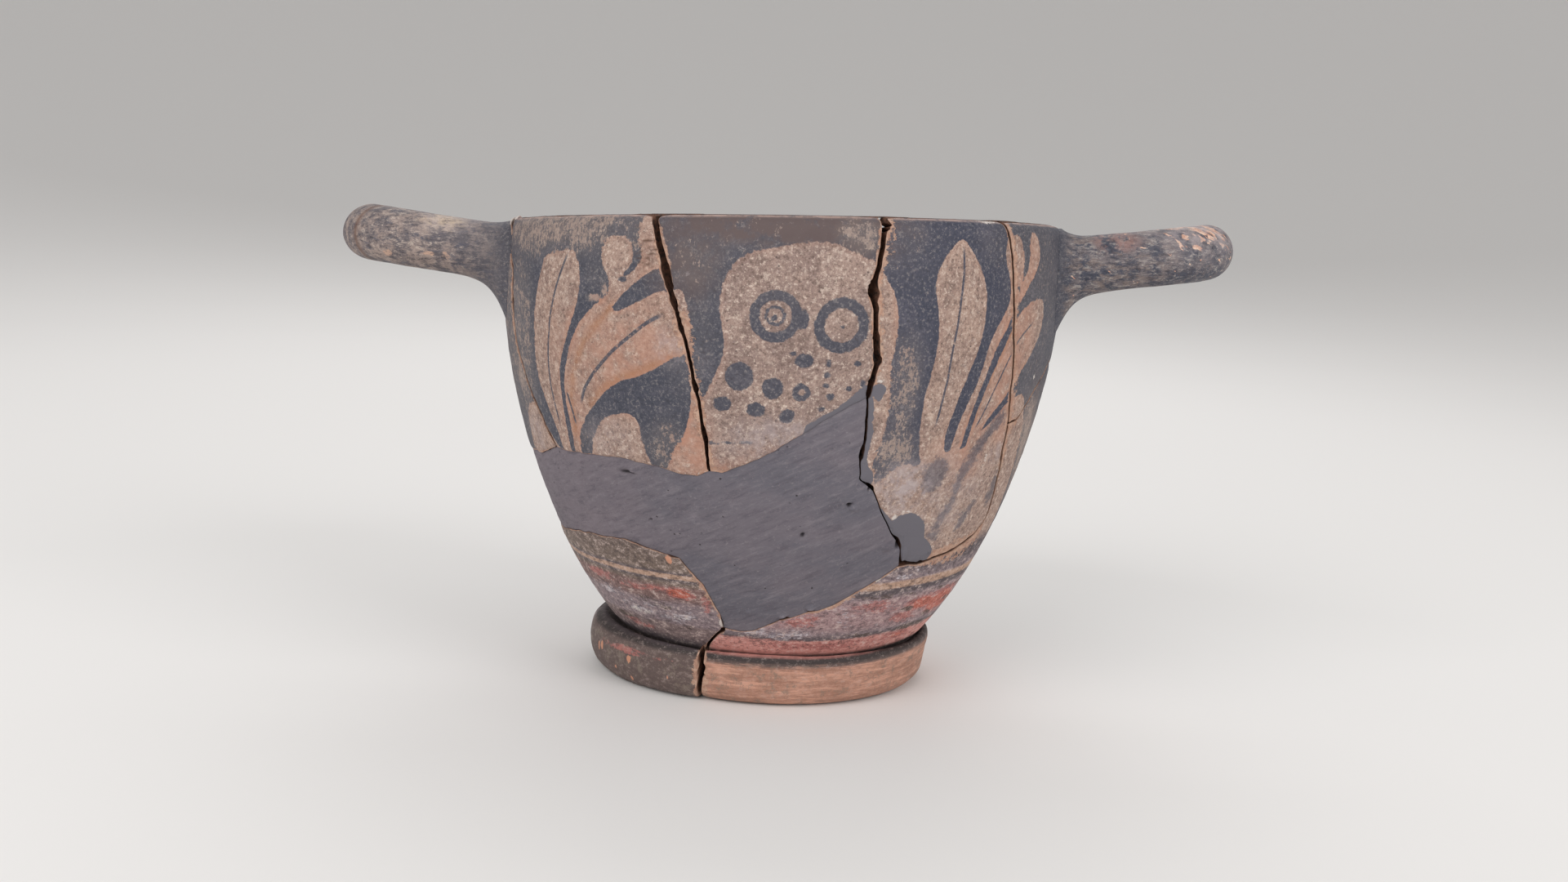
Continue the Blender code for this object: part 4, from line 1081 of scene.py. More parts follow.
@dataclass
class Sherd:
    """One sherd of the wall: its grid, its relief and what its surface carries for its finish.

    low and high are the degrees round at its sides, step the grid's step and rows its stations.
    """

    name: str
    low: float
    high: float
    step: float
    rows: Array
    notches: tuple[Notch, ...] = ()
    whole_round: bool = False
    proud: bool = False
    wheel: float = 0.05
    fracture_depths: tuple[float, ...] = (0.05, 0.22, 0.45, 0.7, 0.93)
    roughness: float = 0.32
    rounding: float = 0.16
    gouge_depth: float = 0.32
    gouge_spacing: float = 0.95

    def shell(self) -> Shell:
        """The closed surface: outer face, inner face and the fracture faces between them."""
        low, high = (math.radians(v) * ARC_RADIUS for v in (self.low, self.high))
        columns = np.linspace(low, high, math.ceil((high - low) / self.step) + 1)
        sheet = Sheet(columns, self.rows, CRACKS.edges(self.name), self.notches, self.whole_round)
        size = len(sheet.arc)
        ring, place = np.unique(sheet.boundary(), return_inverse=True)
        start, end = place.reshape(-1, 2).T
        parts = [(sheet.arc, sheet.station, np.zeros(size), sheet.edge),
                 (sheet.inner_arc, sheet.inner_station, np.ones(size), sheet.edge)]
        parts += [self.fracture(sheet, ring, depth) for depth in self.fracture_depths]
        points, carried = self.settled(Places(*(np.concatenate([p[k] for p in parts]) for k in range(4))))
        count = len(ring)
        between = [2 * size + k * count + np.arange(count) for k in range(len(self.fracture_depths))]
        levels = [ring, *between, size + ring]
        strips = [np.stack([lo[end], lo[start], hi[start], hi[end]], axis=1)
                  for lo, hi in zip(levels, levels[1:])]
        quads = np.concatenate([sheet.quads, sheet.quads[:, ::-1] + size, *strips])
        tris = np.concatenate([sheet.tris, sheet.tris[:, ::-1] + size])
        return Shell(points, quads, tris, carried).merged().outward()

    def fracture(self, sheet: Sheet, ring: Array, depth: float) -> tuple[Array, ...]:
        """A row of the fracture face, set back from the crack by rough noise, most at the middle of the wall.

        Args:
            sheet: the sherd's grid.
            ring: the grid's points along the cracks.
            depth: the row's share of the way through the wall.

        Returns:
            The row's arcs, stations, depths and distances from the crack.
        """
        way = min(1.0, depth * 1.2)
        arc = sheet.arc[ring] + (sheet.inner_arc[ring] - sheet.arc[ring]) * way
        station = sheet.station[ring] + (sheet.inner_station[ring] - sheet.station[ring]) * way
        place = np.stack([arc, station, np.full(len(arc), depth * 4.0)], axis=1)
        rough = 0.5 + 0.5 * noise(place, 1.6, 71, 3)
        back = self.roughness * math.sin(math.pi * depth) * (0.35 + 1.3 * rough)
        back = np.where(sheet.on_rim[ring], 0, back)
        arc, station = np.stack([arc, station]) + sheet.inward[ring].T * back
        return arc, station, np.full(len(ring), depth), np.zeros(len(ring))

    def settled(self, at: Places) -> tuple[Array, dict[str, Array]]:
        """Places in space, and what each of them carries.

        Args:
            at: the places in the wall.

        Returns:
            The points in millimetres, and the values carried, by name.
        """
        outer, angle = at.depth == 0, at.arc / ARC_RADIUS
        fade = np.where(outer, 1.0, np.clip(1 - 3 * at.depth, 0, 1))
        raised = self.relief(at) * fade + (at.depth == 1) * self.inner_relief(at)
        radius, height = (value + raised * np.interp(at.station, PROFILE.stations, PROFILE.normals[:, k])
                          for k, value in enumerate(PROFILE.line(at.station, at.depth)))
        if self.proud:
            span = (math.radians(CRACKS.base[0][0]), math.radians(CRACKS.base[-1][0]))
            radius = radius + (1 - at.depth) * PROFILE.swelling(angle, at.station, height, span)
        carried = self.painted(at)
        above_foot = at.station > PROFILE.marks["rest_outer"]
        carried |= {key: value * above_foot for key, value in WASHES.fields(at.arc, at.height).items()}
        nothing = np.zeros(len(at.arc))
        carried |= {
            "edge": at.edge, "broken": (at.depth > 0) & (at.depth < 1), "inside": at.depth == 1,
            "depth": at.depth, "high": at.height, "arc": at.arc, "out": nothing, "bend_shade": nothing,
            "groove": self.gouges(at) * outer,
        }
        return PROFILE.settle(radius, height, angle), carried

    def painted(self, at: Places) -> dict[str, Array]:
        """The picture's distances on the outer face; glazed all over elsewhere."""
        on_wall = (at.station > PROFILE.marks["waist"]) & (at.depth < 0.5)
        return PICTURE.fields(np.stack([at.arc, at.height], axis=1), on_wall)

    def relief(self, at: Places) -> Array:
        """How far the outer face stands out: uneven throwing, wheel lines and edges worn round."""
        uneven = 0.10 * noise(at.flat, 14, 5) + 0.035 * noise(at.flat, 2.2, 7)
        lines = self.wheel * noise(at.drawn_out(0.05), 1.5, 9)
        worn = -self.rounding * np.exp(-at.edge / 0.35)
        beads = blotted(WASHES.lumps, at.arc, at.height)
        return uneven + lines + worn + beads - self.gouge_depth * self.gouges(at) - 0.05

    def gouges(self, at: Places) -> Array:
        """Short level gouges beside a crack: a wave up the wall, bent by noise, where the wall is hatched."""
        turns = (at.station + 0.5 * noise(at.flat, 1.6, 61) + 0.12 * at.arc) / self.gouge_spacing
        patchy = smooth_step(noise(at.flat, 1.3, 63), -0.35, 0.25)
        wave = smooth_step(np.sin(math.tau * turns), 0, 0.9)
        return blotted(WASHES.hatched, at.arc, at.height) * wave * patchy

    def inner_relief(self, at: Places) -> Array:
        """How far the inner face stands out, with the shallow ridges of throwing and worn edges."""
        return 0.12 * noise(at.drawn_out(0.04), 4, 15) + self.rounding * np.exp(-at.edge / 0.4)

    def build(self, finish: bpy.types.Material, handle: Handle | None = None) -> None:
        """Makes the sherd's object, dresses it and sets it in place of its CAD node.

        Args:
            finish: the sherd's material.
            handle: the handle fired on to it.
        """
        whole = self.shell().joined(handle.shell()) if handle else self.shell()
        mesh = whole.mesh(self.name + "_surface")
        piece = bpy.data.objects.new(self.name + "_surface", mesh)
        bpy.context.scene.collection.objects.link(piece)
        mesh.materials.append(finish)
        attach(piece, "root")
        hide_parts(self.name)
        LOG.info("%s: %d triangles", self.name, 2 * len(whole.quads) + len(whole.tris))


@dataclass
class FillSherd(Sherd):
    """The grey fill, brushed on in strokes, a little below the sherds round it, with pits and crumbs."""

    recess: float = 0.30
    stroke: float = 0.045
    pits: Blots = (
        (14.5, 37.5, 0.55, 0.35, 0.8), (-27.5, 40.9, 1.8, 0.35, 0.6), (6.4, 32.2, 0.45, 0.45, 0.6),
        (27.4, 30.6, 0.9, 1.3, 0.7), (4.6, 16.5, 1.6, 0.3, 0.7), (10.4, 18.3, 1, 0.3, 0.6),
        (-24, 33, 0.35, 0.35, 0.5), (17.8, 40.2, 0.3, 0.5, 0.6),
    )
    lumps: Blots = (
        (4, 16.8, 0.9, 0.5, 0.5), (10.5, 18.7, 1, 0.5, 0.5), (-26.2, 41.2, 0.8, 0.35, 0.45),
        (24.5, 29.8, 0.8, 0.6, 0.4), (-4.2, 17.6, 0.6, 0.4, 0.3), (15.6, 36.9, 0.8, 0.4, 0.35),
    )

    def relief(self, at: Places) -> Array:
        """How far the fill stands out: strokes that bend from level to steep, pits, lumps and a sunk face."""
        tilt = 0.35 + 0.5 * np.tanh((at.arc - 8) / 14)
        along = (at.arc * np.cos(tilt) + at.station * np.sin(tilt)) * 0.10
        across = at.station * np.cos(tilt) - at.arc * np.sin(tilt)
        strokes = self.stroke * noise(np.stack([along, across, np.zeros(len(along))], axis=1), 0.9, 31, 3)
        soft = 0.10 * noise(at.flat, 9, 33) + 0.05 * noise(at.flat, 1.1, 35)
        pitted = blotted(self.pits, at.arc, at.height) - blotted(self.lumps, at.arc, at.height)
        return -self.recess + strokes + soft - pitted - 0.05 * np.exp(-at.edge / 0.4)

    def painted(self, at: Places) -> dict[str, Array]:
        """Where the pits are; the fill carries none of the picture."""
        return {"pit": blotted(self.pits, at.arc, at.height)}


@dataclass
class Handle:
    """A horizontal loop handle as rings carried from its front root round to its back root, in millimetres.

    Each ring is a circle of the rod, and near the wall it follows the wall round and spreads into it.
    patch is the middle and the half size of a pale patch, and spots are soft ovals seen from the front.
    """

    side: int
    rod: float
    reach: float
    drop: float
    rise: float
    worn_end: float
    seed: int
    patch: tuple[tuple[float, ...], tuple[float, ...]]
    # Share of the loop's reach where a thin dark line of painted shade marks where the loop bends away
    shade_line: float
    spots: Blots
    worn_middle: float = 0.62
    spread: float = 25.5
    root_spread: float = 0.5
    root_skirt: float = 6.6
    root_fade: float = 1.9
    below_rim: float = 0.4
    grip: float = 1.8
    sides: int = 84
    limb_rings: int = 46
    bend_rings: int = 90
    lumps: float = 0.16
    # Width of that painted shade line, as a share of the reach
    shade_line_width: float = 0.012
    slipped: float = -4.0
    uncracked: float = 9.0

    def limb(self, distance: Array, front: int, height: Array, turn: Array) -> Array:
        """Rings of a straight limb.

        Args:
            distance: the rings' distances from the wall.
            front: 1 behind and -1 in front.
            height: the rings' heights.
            turn: the angles round a ring.

        Returns:
            The points, one row for each ring.
        """
        distance, height, half = distance[:, None], height[:, None], self.rod / 2
        flare = np.exp(-np.maximum(distance, 0) / self.root_fade)
        above = half + (PROFILE.height - self.below_rim - height - half) * flare
        y = front * (self.spread / 2 - (half + self.root_spread * flare) * np.cos(turn))
        z = height + np.where(np.sin(turn) > 0, above, half + self.root_skirt * flare) * np.sin(turn)
        heights = PROFILE.outer[PROFILE.stations >= PROFILE.marks["waist"], 1]
        wall = np.interp(z, heights, PROFILE.wall_at(PROFILE.share_of(heights))[:, 0])
        on_wall = np.sqrt(np.maximum(wall**2 - y**2, 1))
        follow = np.exp(-np.maximum(distance, 0) / (2 * self.root_fade))
        x = follow * on_wall + (1 - follow) * self.middle(height[:, 0])[:, None] + distance
        return np.stack([x, y, z], axis=-1)

    def middle(self, height: Array) -> Array:
        """How far out the wall is at the middle of a limb's root."""
        return np.sqrt(PROFILE.wall_at(PROFILE.share_of(height))[:, 0] ** 2 - (self.spread / 2) ** 2)

    def bend(self, angle: Array, centre: float, height: Array, turn: Array) -> Array:
        """Rings of the round end.

        Args:
            angle: the rings' angles round the bend.
            centre: how far out the bend's middle is.
            height: the rings' heights.
            turn: the angles round a ring.

        Returns:
            The points, one row for each ring.
        """
        out = self.spread / 2 - self.rod / 2 * np.cos(turn)[None]
        x = centre + out * np.sin(angle)[:, None]
        z = height[:, None] + self.rod / 2 * np.sin(turn)[None]
        return np.stack([x, -out * np.cos(angle)[:, None], z], axis=-1)

    def shell(self) -> Shell:
        """The closed handle: its rings joined in order, with a pole closing each end inside the wall."""
        turn = np.linspace(0, math.tau, self.sides, endpoint=False)
        root = PROFILE.height - self.drop
        middle = float(self.middle(np.array([root]))[0])
        reach = self.reach - self.rod / 2 - middle
        limb = reach - self.spread / 2
        shares = np.linspace(0, 1, self.limb_rings) ** 1.5
        distance = np.concatenate([[-self.grip, -self.grip / 2], shares * limb])
        height = root + self.rise * np.maximum(distance, 0) / reach
        angle = np.linspace(0, np.pi, self.bend_rings + 2)[1:-1]
        bent = limb + self.spread / 2 * np.sin(angle)
        rings = np.concatenate([
            self.limb(distance, -1, height, turn),
            self.bend(angle, middle + limb, root + self.rise * bent / reach, turn),
            self.limb(distance[::-1], 1, height[::-1], turn),
        ])
        out = np.concatenate([distance, bent, distance[::-1]])
        outward = unit(rings - rings.mean(axis=1, keepdims=True))
        flat = rings.reshape(-1, 3)
        lumpy = self.lumps * (noise(flat, 7, self.seed) + 0.35 * noise(flat, 1.8, self.seed + 1))
        lumpy = (lumpy.reshape(rings.shape[:2]) - 0.06) * np.clip(out / 4, 0, 1)[:, None]
        rings = rings + outward * lumpy[..., None]
        rings[..., 0] *= self.side
        return self.closed(rings, out)

    def closed(self, rings: Array, out: Array) -> Shell:
        """Joins rings into a closed shell.

        Args:
            rings: the rings' points, before the vessel settled.
            out: how far each ring is from the wall.

        Returns:
            The shell, faces outward.
        """
        count, sides = rings.shape[:2]
        poles = [rings[k].mean(axis=0)[None] for k in (0, -1)]
        points = PROFILE.tilt(np.concatenate([rings.reshape(-1, 3), *poles]))
        at, after = np.arange(sides), (np.arange(sides) + 1) % sides
        base = np.arange(count - 1)[:, None] * sides
        over = base + sides
        quads = np.stack([base + at, base + after, over + after, over + at], axis=-1).reshape(-1, 4)
        first, far = count * sides, (count - 1) * sides
        tris = np.concatenate([
            np.stack([np.full(sides, first), after, at], axis=1),
            np.stack([np.full(sides, first + 1), far + at, far + after], axis=1),
        ])
        reach = np.concatenate([np.repeat(out, sides), [out[0], out[-1]]])
        return Shell(points, quads, tris, self.carried(points, reach)).outward()

    def carried(self, points: Array, out: Array) -> dict[str, Array]:
        """What the handle's points carry: slip all over, with wear, a pale patch and a thin line of painted
        shade by its end, where the loop bends away.
        """
        share = np.clip(out / max(out.max(), 1), 0, 1)
        worn = self.worn_middle * smooth_step(share, 0.02, 0.35)
        worn += (self.worn_end - self.worn_middle) * smooth_step(share, 0.55, 0.95)
        away = np.linalg.norm((points - np.array(self.patch[0])) / self.patch[1], axis=1)
        none = ("brown", "red", "lilac", "chip", "broken", "inside", "depth", "rib_on", "ochre", "groove",
                "cream")
        levels = {0.0: none, self.slipped: ("clay", "mark", "over", "faint"), NO_RIB: ("rib",),
                  self.uncracked: ("edge",)}
        values = {name: np.full(len(points), level) for level, names in levels.items() for name in names}
        return values | {
            "worn": worn, "arc": np.arctan2(points[:, 0], -points[:, 1]) * ARC_RADIUS, "out": share,
            "pale": np.exp(-(away**2)), "high": np.minimum(points[:, 2], BELOW_LIP),
            # Painted shade: a thin dark line across the loop where it bends away
            "bend_shade": np.exp(-(((share - self.shade_line) / self.shade_line_width) ** 2)),
            "warm": blotted(self.spots, points[:, 0], points[:, 2]),
        }


@dataclass
class Wire:
    """One output of a shader node, worked on by further nodes of its board."""

    board: Board
    socket: bpy.types.NodeSocket

    def __add__(self, other: Source) -> Wire:
        """The sum of two values."""
        return self.board.math("ADD", self, other)

    def __sub__(self, other: Source) -> Wire:
        """This value less another."""
        return self.board.math("SUBTRACT", self, other)

    def __rsub__(self, other: float) -> Wire:
        """A number less this value."""
        return self.board.math("SUBTRACT", other, self)

    def __mul__(self, other: Source) -> Wire:
        """The product of two values."""
        return self.board.math("MULTIPLY", self, other)

    def __truediv__(self, other: Source) -> Wire:
        """This value divided by another."""
        return self.board.math("DIVIDE", self, other)

    def __or__(self, other: Source) -> Wire:
        """The larger of two values."""
        return self.board.math("MAXIMUM", self, other)

    def __abs__(self) -> Wire:
        """The value without its sign."""
        return self.board.math("ABSOLUTE", self)

    def step(self, low: Source, high: Source) -> Wire:
        """0 below low, 1 above high and smooth between, also with low above high."""
        made = self.board.node("ShaderNodeMapRange", interpolation_type="SMOOTHSTEP", clamp=True)
        return self.board.fed(made, self, low, high, 0.0, 1.0)

    def over(self, share: Source, colour: Source) -> Wire:
        """This colour with another laid over it by a share."""
        return self.board.mix(share, self, colour)


# What may be fed to a socket: a wire, a number, or an sRGB colour from 0 to 255
Source = Wire | float | Colour


@dataclass
class Board:
    """Adds shader nodes to a tree and joins them, for a material or a group."""

    tree: bpy.types.NodeTree

    def __post_init__(self) -> None:
        """Adds the place on the object, which the patterns follow."""
        self.place = self.node("ShaderNodeTexCoord").outputs["Object"]

    def __getitem__(self, name: str) -> Wire:
        """A value that the mesh carries, by its name."""
        return Wire(self, self.node("ShaderNodeAttribute", attribute_name=name).outputs["Fac"])

    def node(self, kind: str, **settings: object) -> bpy.types.Node:
        """Adds a node of a kind and sets its own properties."""
        made = self.tree.nodes.new(kind)
        for key, value in settings.items():
            setattr(made, key, value)
        return made

    def feed(self, socket: bpy.types.NodeSocket, source: Source) -> None:
        """Joins a wire to a socket, or sets the socket's own value or colour."""
        if isinstance(source, Wire):
            self.tree.links.new(source.socket, socket)
        else:
            socket.default_value = linear(*source) if isinstance(source, tuple) else source

    def fed(self, made: bpy.types.Node, *sources: Source) -> Wire:
        """Feeds a node's inputs in order, and gives its first output."""
        for socket, source in zip(made.inputs, sources):
            self.feed(socket, source)
        return Wire(self, made.outputs[0])

    def math(self, operation: str, *sources: Source) -> Wire:
        """A Math node's output."""
        return self.fed(self.node("ShaderNodeMath", operation=operation), *sources)

    def mix(self, share: Source, first: Source, second: Source) -> Wire:
        """A colour mixed from two by a share."""
        made = self.node("ShaderNodeMix", data_type="RGBA", clamp_factor=True)
        # The sockets of a colour mix come after those of the other kinds
        for place, source in ((0, share), (6, first), (7, second)):
            self.feed(made.inputs[place], source)
        return Wire(self, made.outputs[2])

    def mapped(self, place: bpy.types.NodeSocket, way: str,
               amount: tuple[float, ...]) -> bpy.types.NodeSocket:
        """A place scaled along its axes or turned about them."""
        made = self.node("ShaderNodeMapping")
        self.tree.links.new(place, made.inputs["Vector"])
        made.inputs[way].default_value = amount
        return made.outputs["Vector"]

    def noise(self, size: float, detail: float, rough: float, warp: float = 0.0,
              scale: tuple[float, ...] | None = None, slant: float = 0.0) -> Wire:
        """Noise around a half.

        Args:
            size: about how many millimetres its largest features are.
            detail: how many finer layers it has.
            rough: how strong the finer layers are.
            warp: how far it is bent by itself.
            scale: the scale along each axis, small where the pattern is to be long.
            slant: the radians it is turned about the y axis.

        Returns:
            The noise.
        """
        place = self.mapped(self.place, "Rotation", (0.0, slant, 0.0)) if slant else self.place
        place = self.mapped(place, "Scale", scale) if scale else place
        made = self.node("ShaderNodeTexNoise")
        self.tree.links.new(place, made.inputs["Vector"])
        settings = {"Scale": 1000 / size, "Detail": detail, "Roughness": rough, "Distortion": warp}
        for key, value in settings.items():
            made.inputs[key].default_value = value
        return Wire(self, made.outputs[0])

    def cells(self, size: float) -> Wire:
        """The distance from the nearest of scattered points, about so many millimetres apart."""
        made = self.node("ShaderNodeTexVoronoi")
        self.tree.links.new(self.place, made.inputs["Vector"])
        made.inputs["Scale"].default_value = 1000 / size
        return Wire(self, made.outputs[0])

    def ramp(self, source: Wire, stops: tuple) -> Wire:
        """A colour from a row of (place, colour) stops."""
        made = self.node("ShaderNodeValToRGB")
        elements = made.color_ramp.elements
        while len(elements) < len(stops):
            elements.new(0.5)
        for element, (place, colour) in zip(elements, stops):
            element.position = place
            element.color = linear(*colour)
        return self.fed(made, source)

    def use(self, group: str, **sources: Source) -> dict[str, Wire]:
        """Places a node group by its name, with its inputs fed, and gives its outputs by name."""
        made = self.node("ShaderNodeGroup", node_tree=bpy.data.node_groups[group])
        for key, source in sources.items():
            self.feed(made.inputs[key], source)
        return {socket.name: Wire(self, socket) for socket in made.outputs}

    def give(self, **results: Wire) -> None:
        """Makes the group's outputs, one of them a colour if it is named so, and feeds them."""
        for key in results:
            kind = "NodeSocketColor" if key == "Color" else "NodeSocketFloat"
            self.tree.interface.new_socket(key, in_out="OUTPUT", socket_type=kind)
        made = self.node("NodeGroupOutput")
        for key, result in results.items():
            self.feed(made.inputs[key], result)

    def shade(self, colour: Wire, roughness: Source, specular: float, height: Wire, strength: float,
              distance: float) -> None:
        """Feeds the material's shader, with fine unevenness as a bump.

        Args:
            colour: the surface's colour.
            roughness: the surface's roughness.
            specular: the level of its reflection.
            height: the fine unevenness.
            strength: how strong the bump is.
            distance: how high the bump's unevenness is, in metres.
        """
        bump = self.node("ShaderNodeBump")
        for key, source in {"Strength": strength, "Distance": distance, "Height": height}.items():
            self.feed(bump.inputs[key], source)
        inputs = self.tree.nodes["Principled BSDF"].inputs
        self.feed(inputs["Base Color"], colour)
        self.feed(inputs["Roughness"], roughness)
        self.feed(inputs["Specular IOR Level"], specular)
        self.feed(inputs["Normal"], Wire(self, bump.outputs["Normal"]))


def new_material(name: str) -> tuple[bpy.types.Material, Board]:
    """An empty material and the board for its nodes."""
    material = bpy.data.materials.new(name)
    material.use_nodes = True
    return material, Board(material.node_tree)


def new_group(name: str, colours: tuple[str, ...] = (),
              values: tuple[str, ...] = ()) -> tuple[Board, dict[str, Wire]]:
    """An empty shader node group with its inputs.

    Args:
        name: the group's name.
        colours: the names of the inputs that are colours.
        values: the names of the inputs that are numbers.

    Returns:
        The board for its nodes, and the inputs by name.
    """
    tree = bpy.data.node_groups.new(name, "ShaderNodeTree")
    for kind, keys in (("NodeSocketColor", colours), ("NodeSocketFloat", values)):
        for key in keys:
            tree.interface.new_socket(key, in_out="INPUT", socket_type=kind)
    board = Board(tree)
    outputs = board.node("NodeGroupInput").outputs
    return board, {key: Wire(board, outputs[key]) for key in (*colours, *values)}


def clay_group() -> None:
    """Fired clay: two tones in soft clouds, fine dark and pale grain and a few pinholes."""
    board, takes = new_group("Fired clay", ("Light", "Dark"), ("Grain",))
    tone = board.mix(board.noise(4.0, 5, 0.75).step(0.38, 0.62), takes["Dark"], takes["Light"])
    grain, smudges = board.noise(0.65, 4, 0.85), board.noise(1.7, 5, 0.85)
    dark = grain.step(0.48, 0.36) | smudges.step(0.47, 0.36) * 0.75
    light = grain.step(0.53, 0.65) | smudges.step(0.54, 0.65) * 0.7
    tone = tone.over(dark * takes["Grain"] * 0.80, (94, 78, 72))
    tone = tone.over(light * takes["Grain"] * 0.80, (212, 194, 180))
    pinholes = board.cells(1.3).step(0.15, 0.09) * board.noise(2.6, 2, 0.5).step(0.50, 0.56)
    tone = tone.over(pinholes * takes["Grain"] * 0.8, (84, 72, 70))
    board.give(Color=tone, Height=grain - pinholes * 0.6)


def glaze_group() -> None:
    """Dark gloss slip: slate to brown clouds, fine grain, and level brush streaks in its thickness."""
    board, takes = new_group("Gloss slip", ("Deep", "Thin"), ("Thinness",))
    amount = board.noise(1.6, 4, 0.6, scale=(0.12, 0.12, 1.0)) * 0.3 + board.noise(5.0, 4, 0.7) * 0.7
    tone = board.mix((amount + takes["Thinness"]).step(0.47, 0.72), takes["Deep"], takes["Thin"])
    grain = board.noise(0.55, 4, 0.85)
    tone = tone.over(grain.step(0.52, 0.64) * 0.6, (140, 133, 131))
    board.give(Color=tone.over(grain.step(0.48, 0.36) * 0.65, (44, 44, 53)))


def fleck_group() -> None:
    """Where slip has worn away: fine upright scratches and specks that join as the wear grows."""
    board, takes = new_group("Flaked", values=("Wear",))
    amount = board.noise(0.7, 4, 0.8, scale=(1.6, 1.6, 0.55)) * 0.40 + board.noise(0.5, 3, 0.8) * 0.25
    amount = amount + board.noise(2.2, 5, 0.75) * 0.35
    edge = 0.645 - takes["Wear"] * 0.18
    board.give(Mask=amount.step(edge, edge + 0.05))


def chipped_group() -> None:
    """Broken edges: a ragged bare rim along the cracks, about as wide as its reach in millimetres."""
    board, takes = new_group("Chipped edge", values=("Edge", "Reach"))
    limit = takes["Reach"] * (board.noise(1.2, 5, 0.8).step(0.36, 0.66) * 1.3 + 0.08)
    board.give(Bare=takes["Edge"].step(limit + 0.05, limit - 0.10))


def crust_group() -> None:
    """Deposits and stains: patches stretched level with the wheel, in crumbs, growing with the amount."""
    board, takes = new_group("Crust", values=("Amount",))
    amount = board.noise(2.0, 6, 0.78, scale=(0.35, 0.35, 1.0)) * 0.68 + board.noise(0.8, 4, 0.8) * 0.32
    edge = 0.70 - takes["Amount"] * 0.27
    board.give(Mask=amount.step(edge, edge + 0.08))


class Grip(Enum):
    """Which handle a sherd carries."""

    NONE = "no handle"
    LEFT = "left handle"
    RIGHT = "right handle"


class Ground(Enum):
    """What the lower body and the foot are painted with."""

    NONE = "no bands"
    LEFT = "left bands"
    RIGHT = "right bands"


class Tone(Enum):
    """The colours of the lower body and the foot; the near-black one is painted shade for the waist groove.
    """

    # Painted shade: near black laid in the deepest part of the waist groove between body and foot
    SOOT = (58, 50, 49)
    UMBER = (98, 83, 79)
    SLATE = (92, 83, 87)
    ASH = (124, 106, 105)
    STONE = (137, 121, 125)
    ROSE = (158, 130, 131)
    RUST = (124, 97, 93)
    RED = (198, 138, 129)
    TAN = (180, 148, 128)
    OLIVE = (120, 104, 94)
    TERRACOTTA = (172, 129, 110)


# Heights in millimetres and their tones; the near-black stops from 8.5 to 8.8 are painted shade in the waist
# groove
LEFT_BANDS = (
    (0.0, Tone.UMBER), (7.9, Tone.UMBER), (8.5, Tone.SOOT), (8.8, Tone.SOOT), (9.6, Tone.SLATE),
    (11.0, Tone.ASH), (13.0, Tone.ASH), (13.8, Tone.STONE), (17.4, Tone.STONE), (18.6, Tone.RUST),
    (20.9, Tone.RUST), (21.6, Tone.OLIVE), (22.4, Tone.SLATE), (22.65, Tone.TAN), (23.3, Tone.TAN),
    (23.5, Tone.SLATE), (24.2, Tone.OLIVE), (31.0, Tone.UMBER),
)
# Heights in millimetres and their tones; from 6.9 up the tone darkens through umber to near black at 8.2 to
# 8.8, painted shade on the foot's top edge under the body and in the waist groove
RIGHT_BANDS = (
    (0.0, Tone.TERRACOTTA), (6.9, Tone.TERRACOTTA), (7.5, Tone.UMBER), (8.2, Tone.SOOT), (8.8, Tone.SOOT),
    (9.5, Tone.RED),
    (11.9, Tone.RED), (12.6, Tone.SLATE), (13.6, Tone.STONE), (15.2, Tone.ROSE), (19.4, Tone.ROSE),
    (20.4, Tone.STONE), (21.0, Tone.SLATE), (21.7, Tone.SLATE), (22.0, Tone.TAN), (23.0, Tone.TAN),
    (23.4, Tone.STONE), (26.0, Tone.SLATE), (30.0, Tone.SLATE),
)


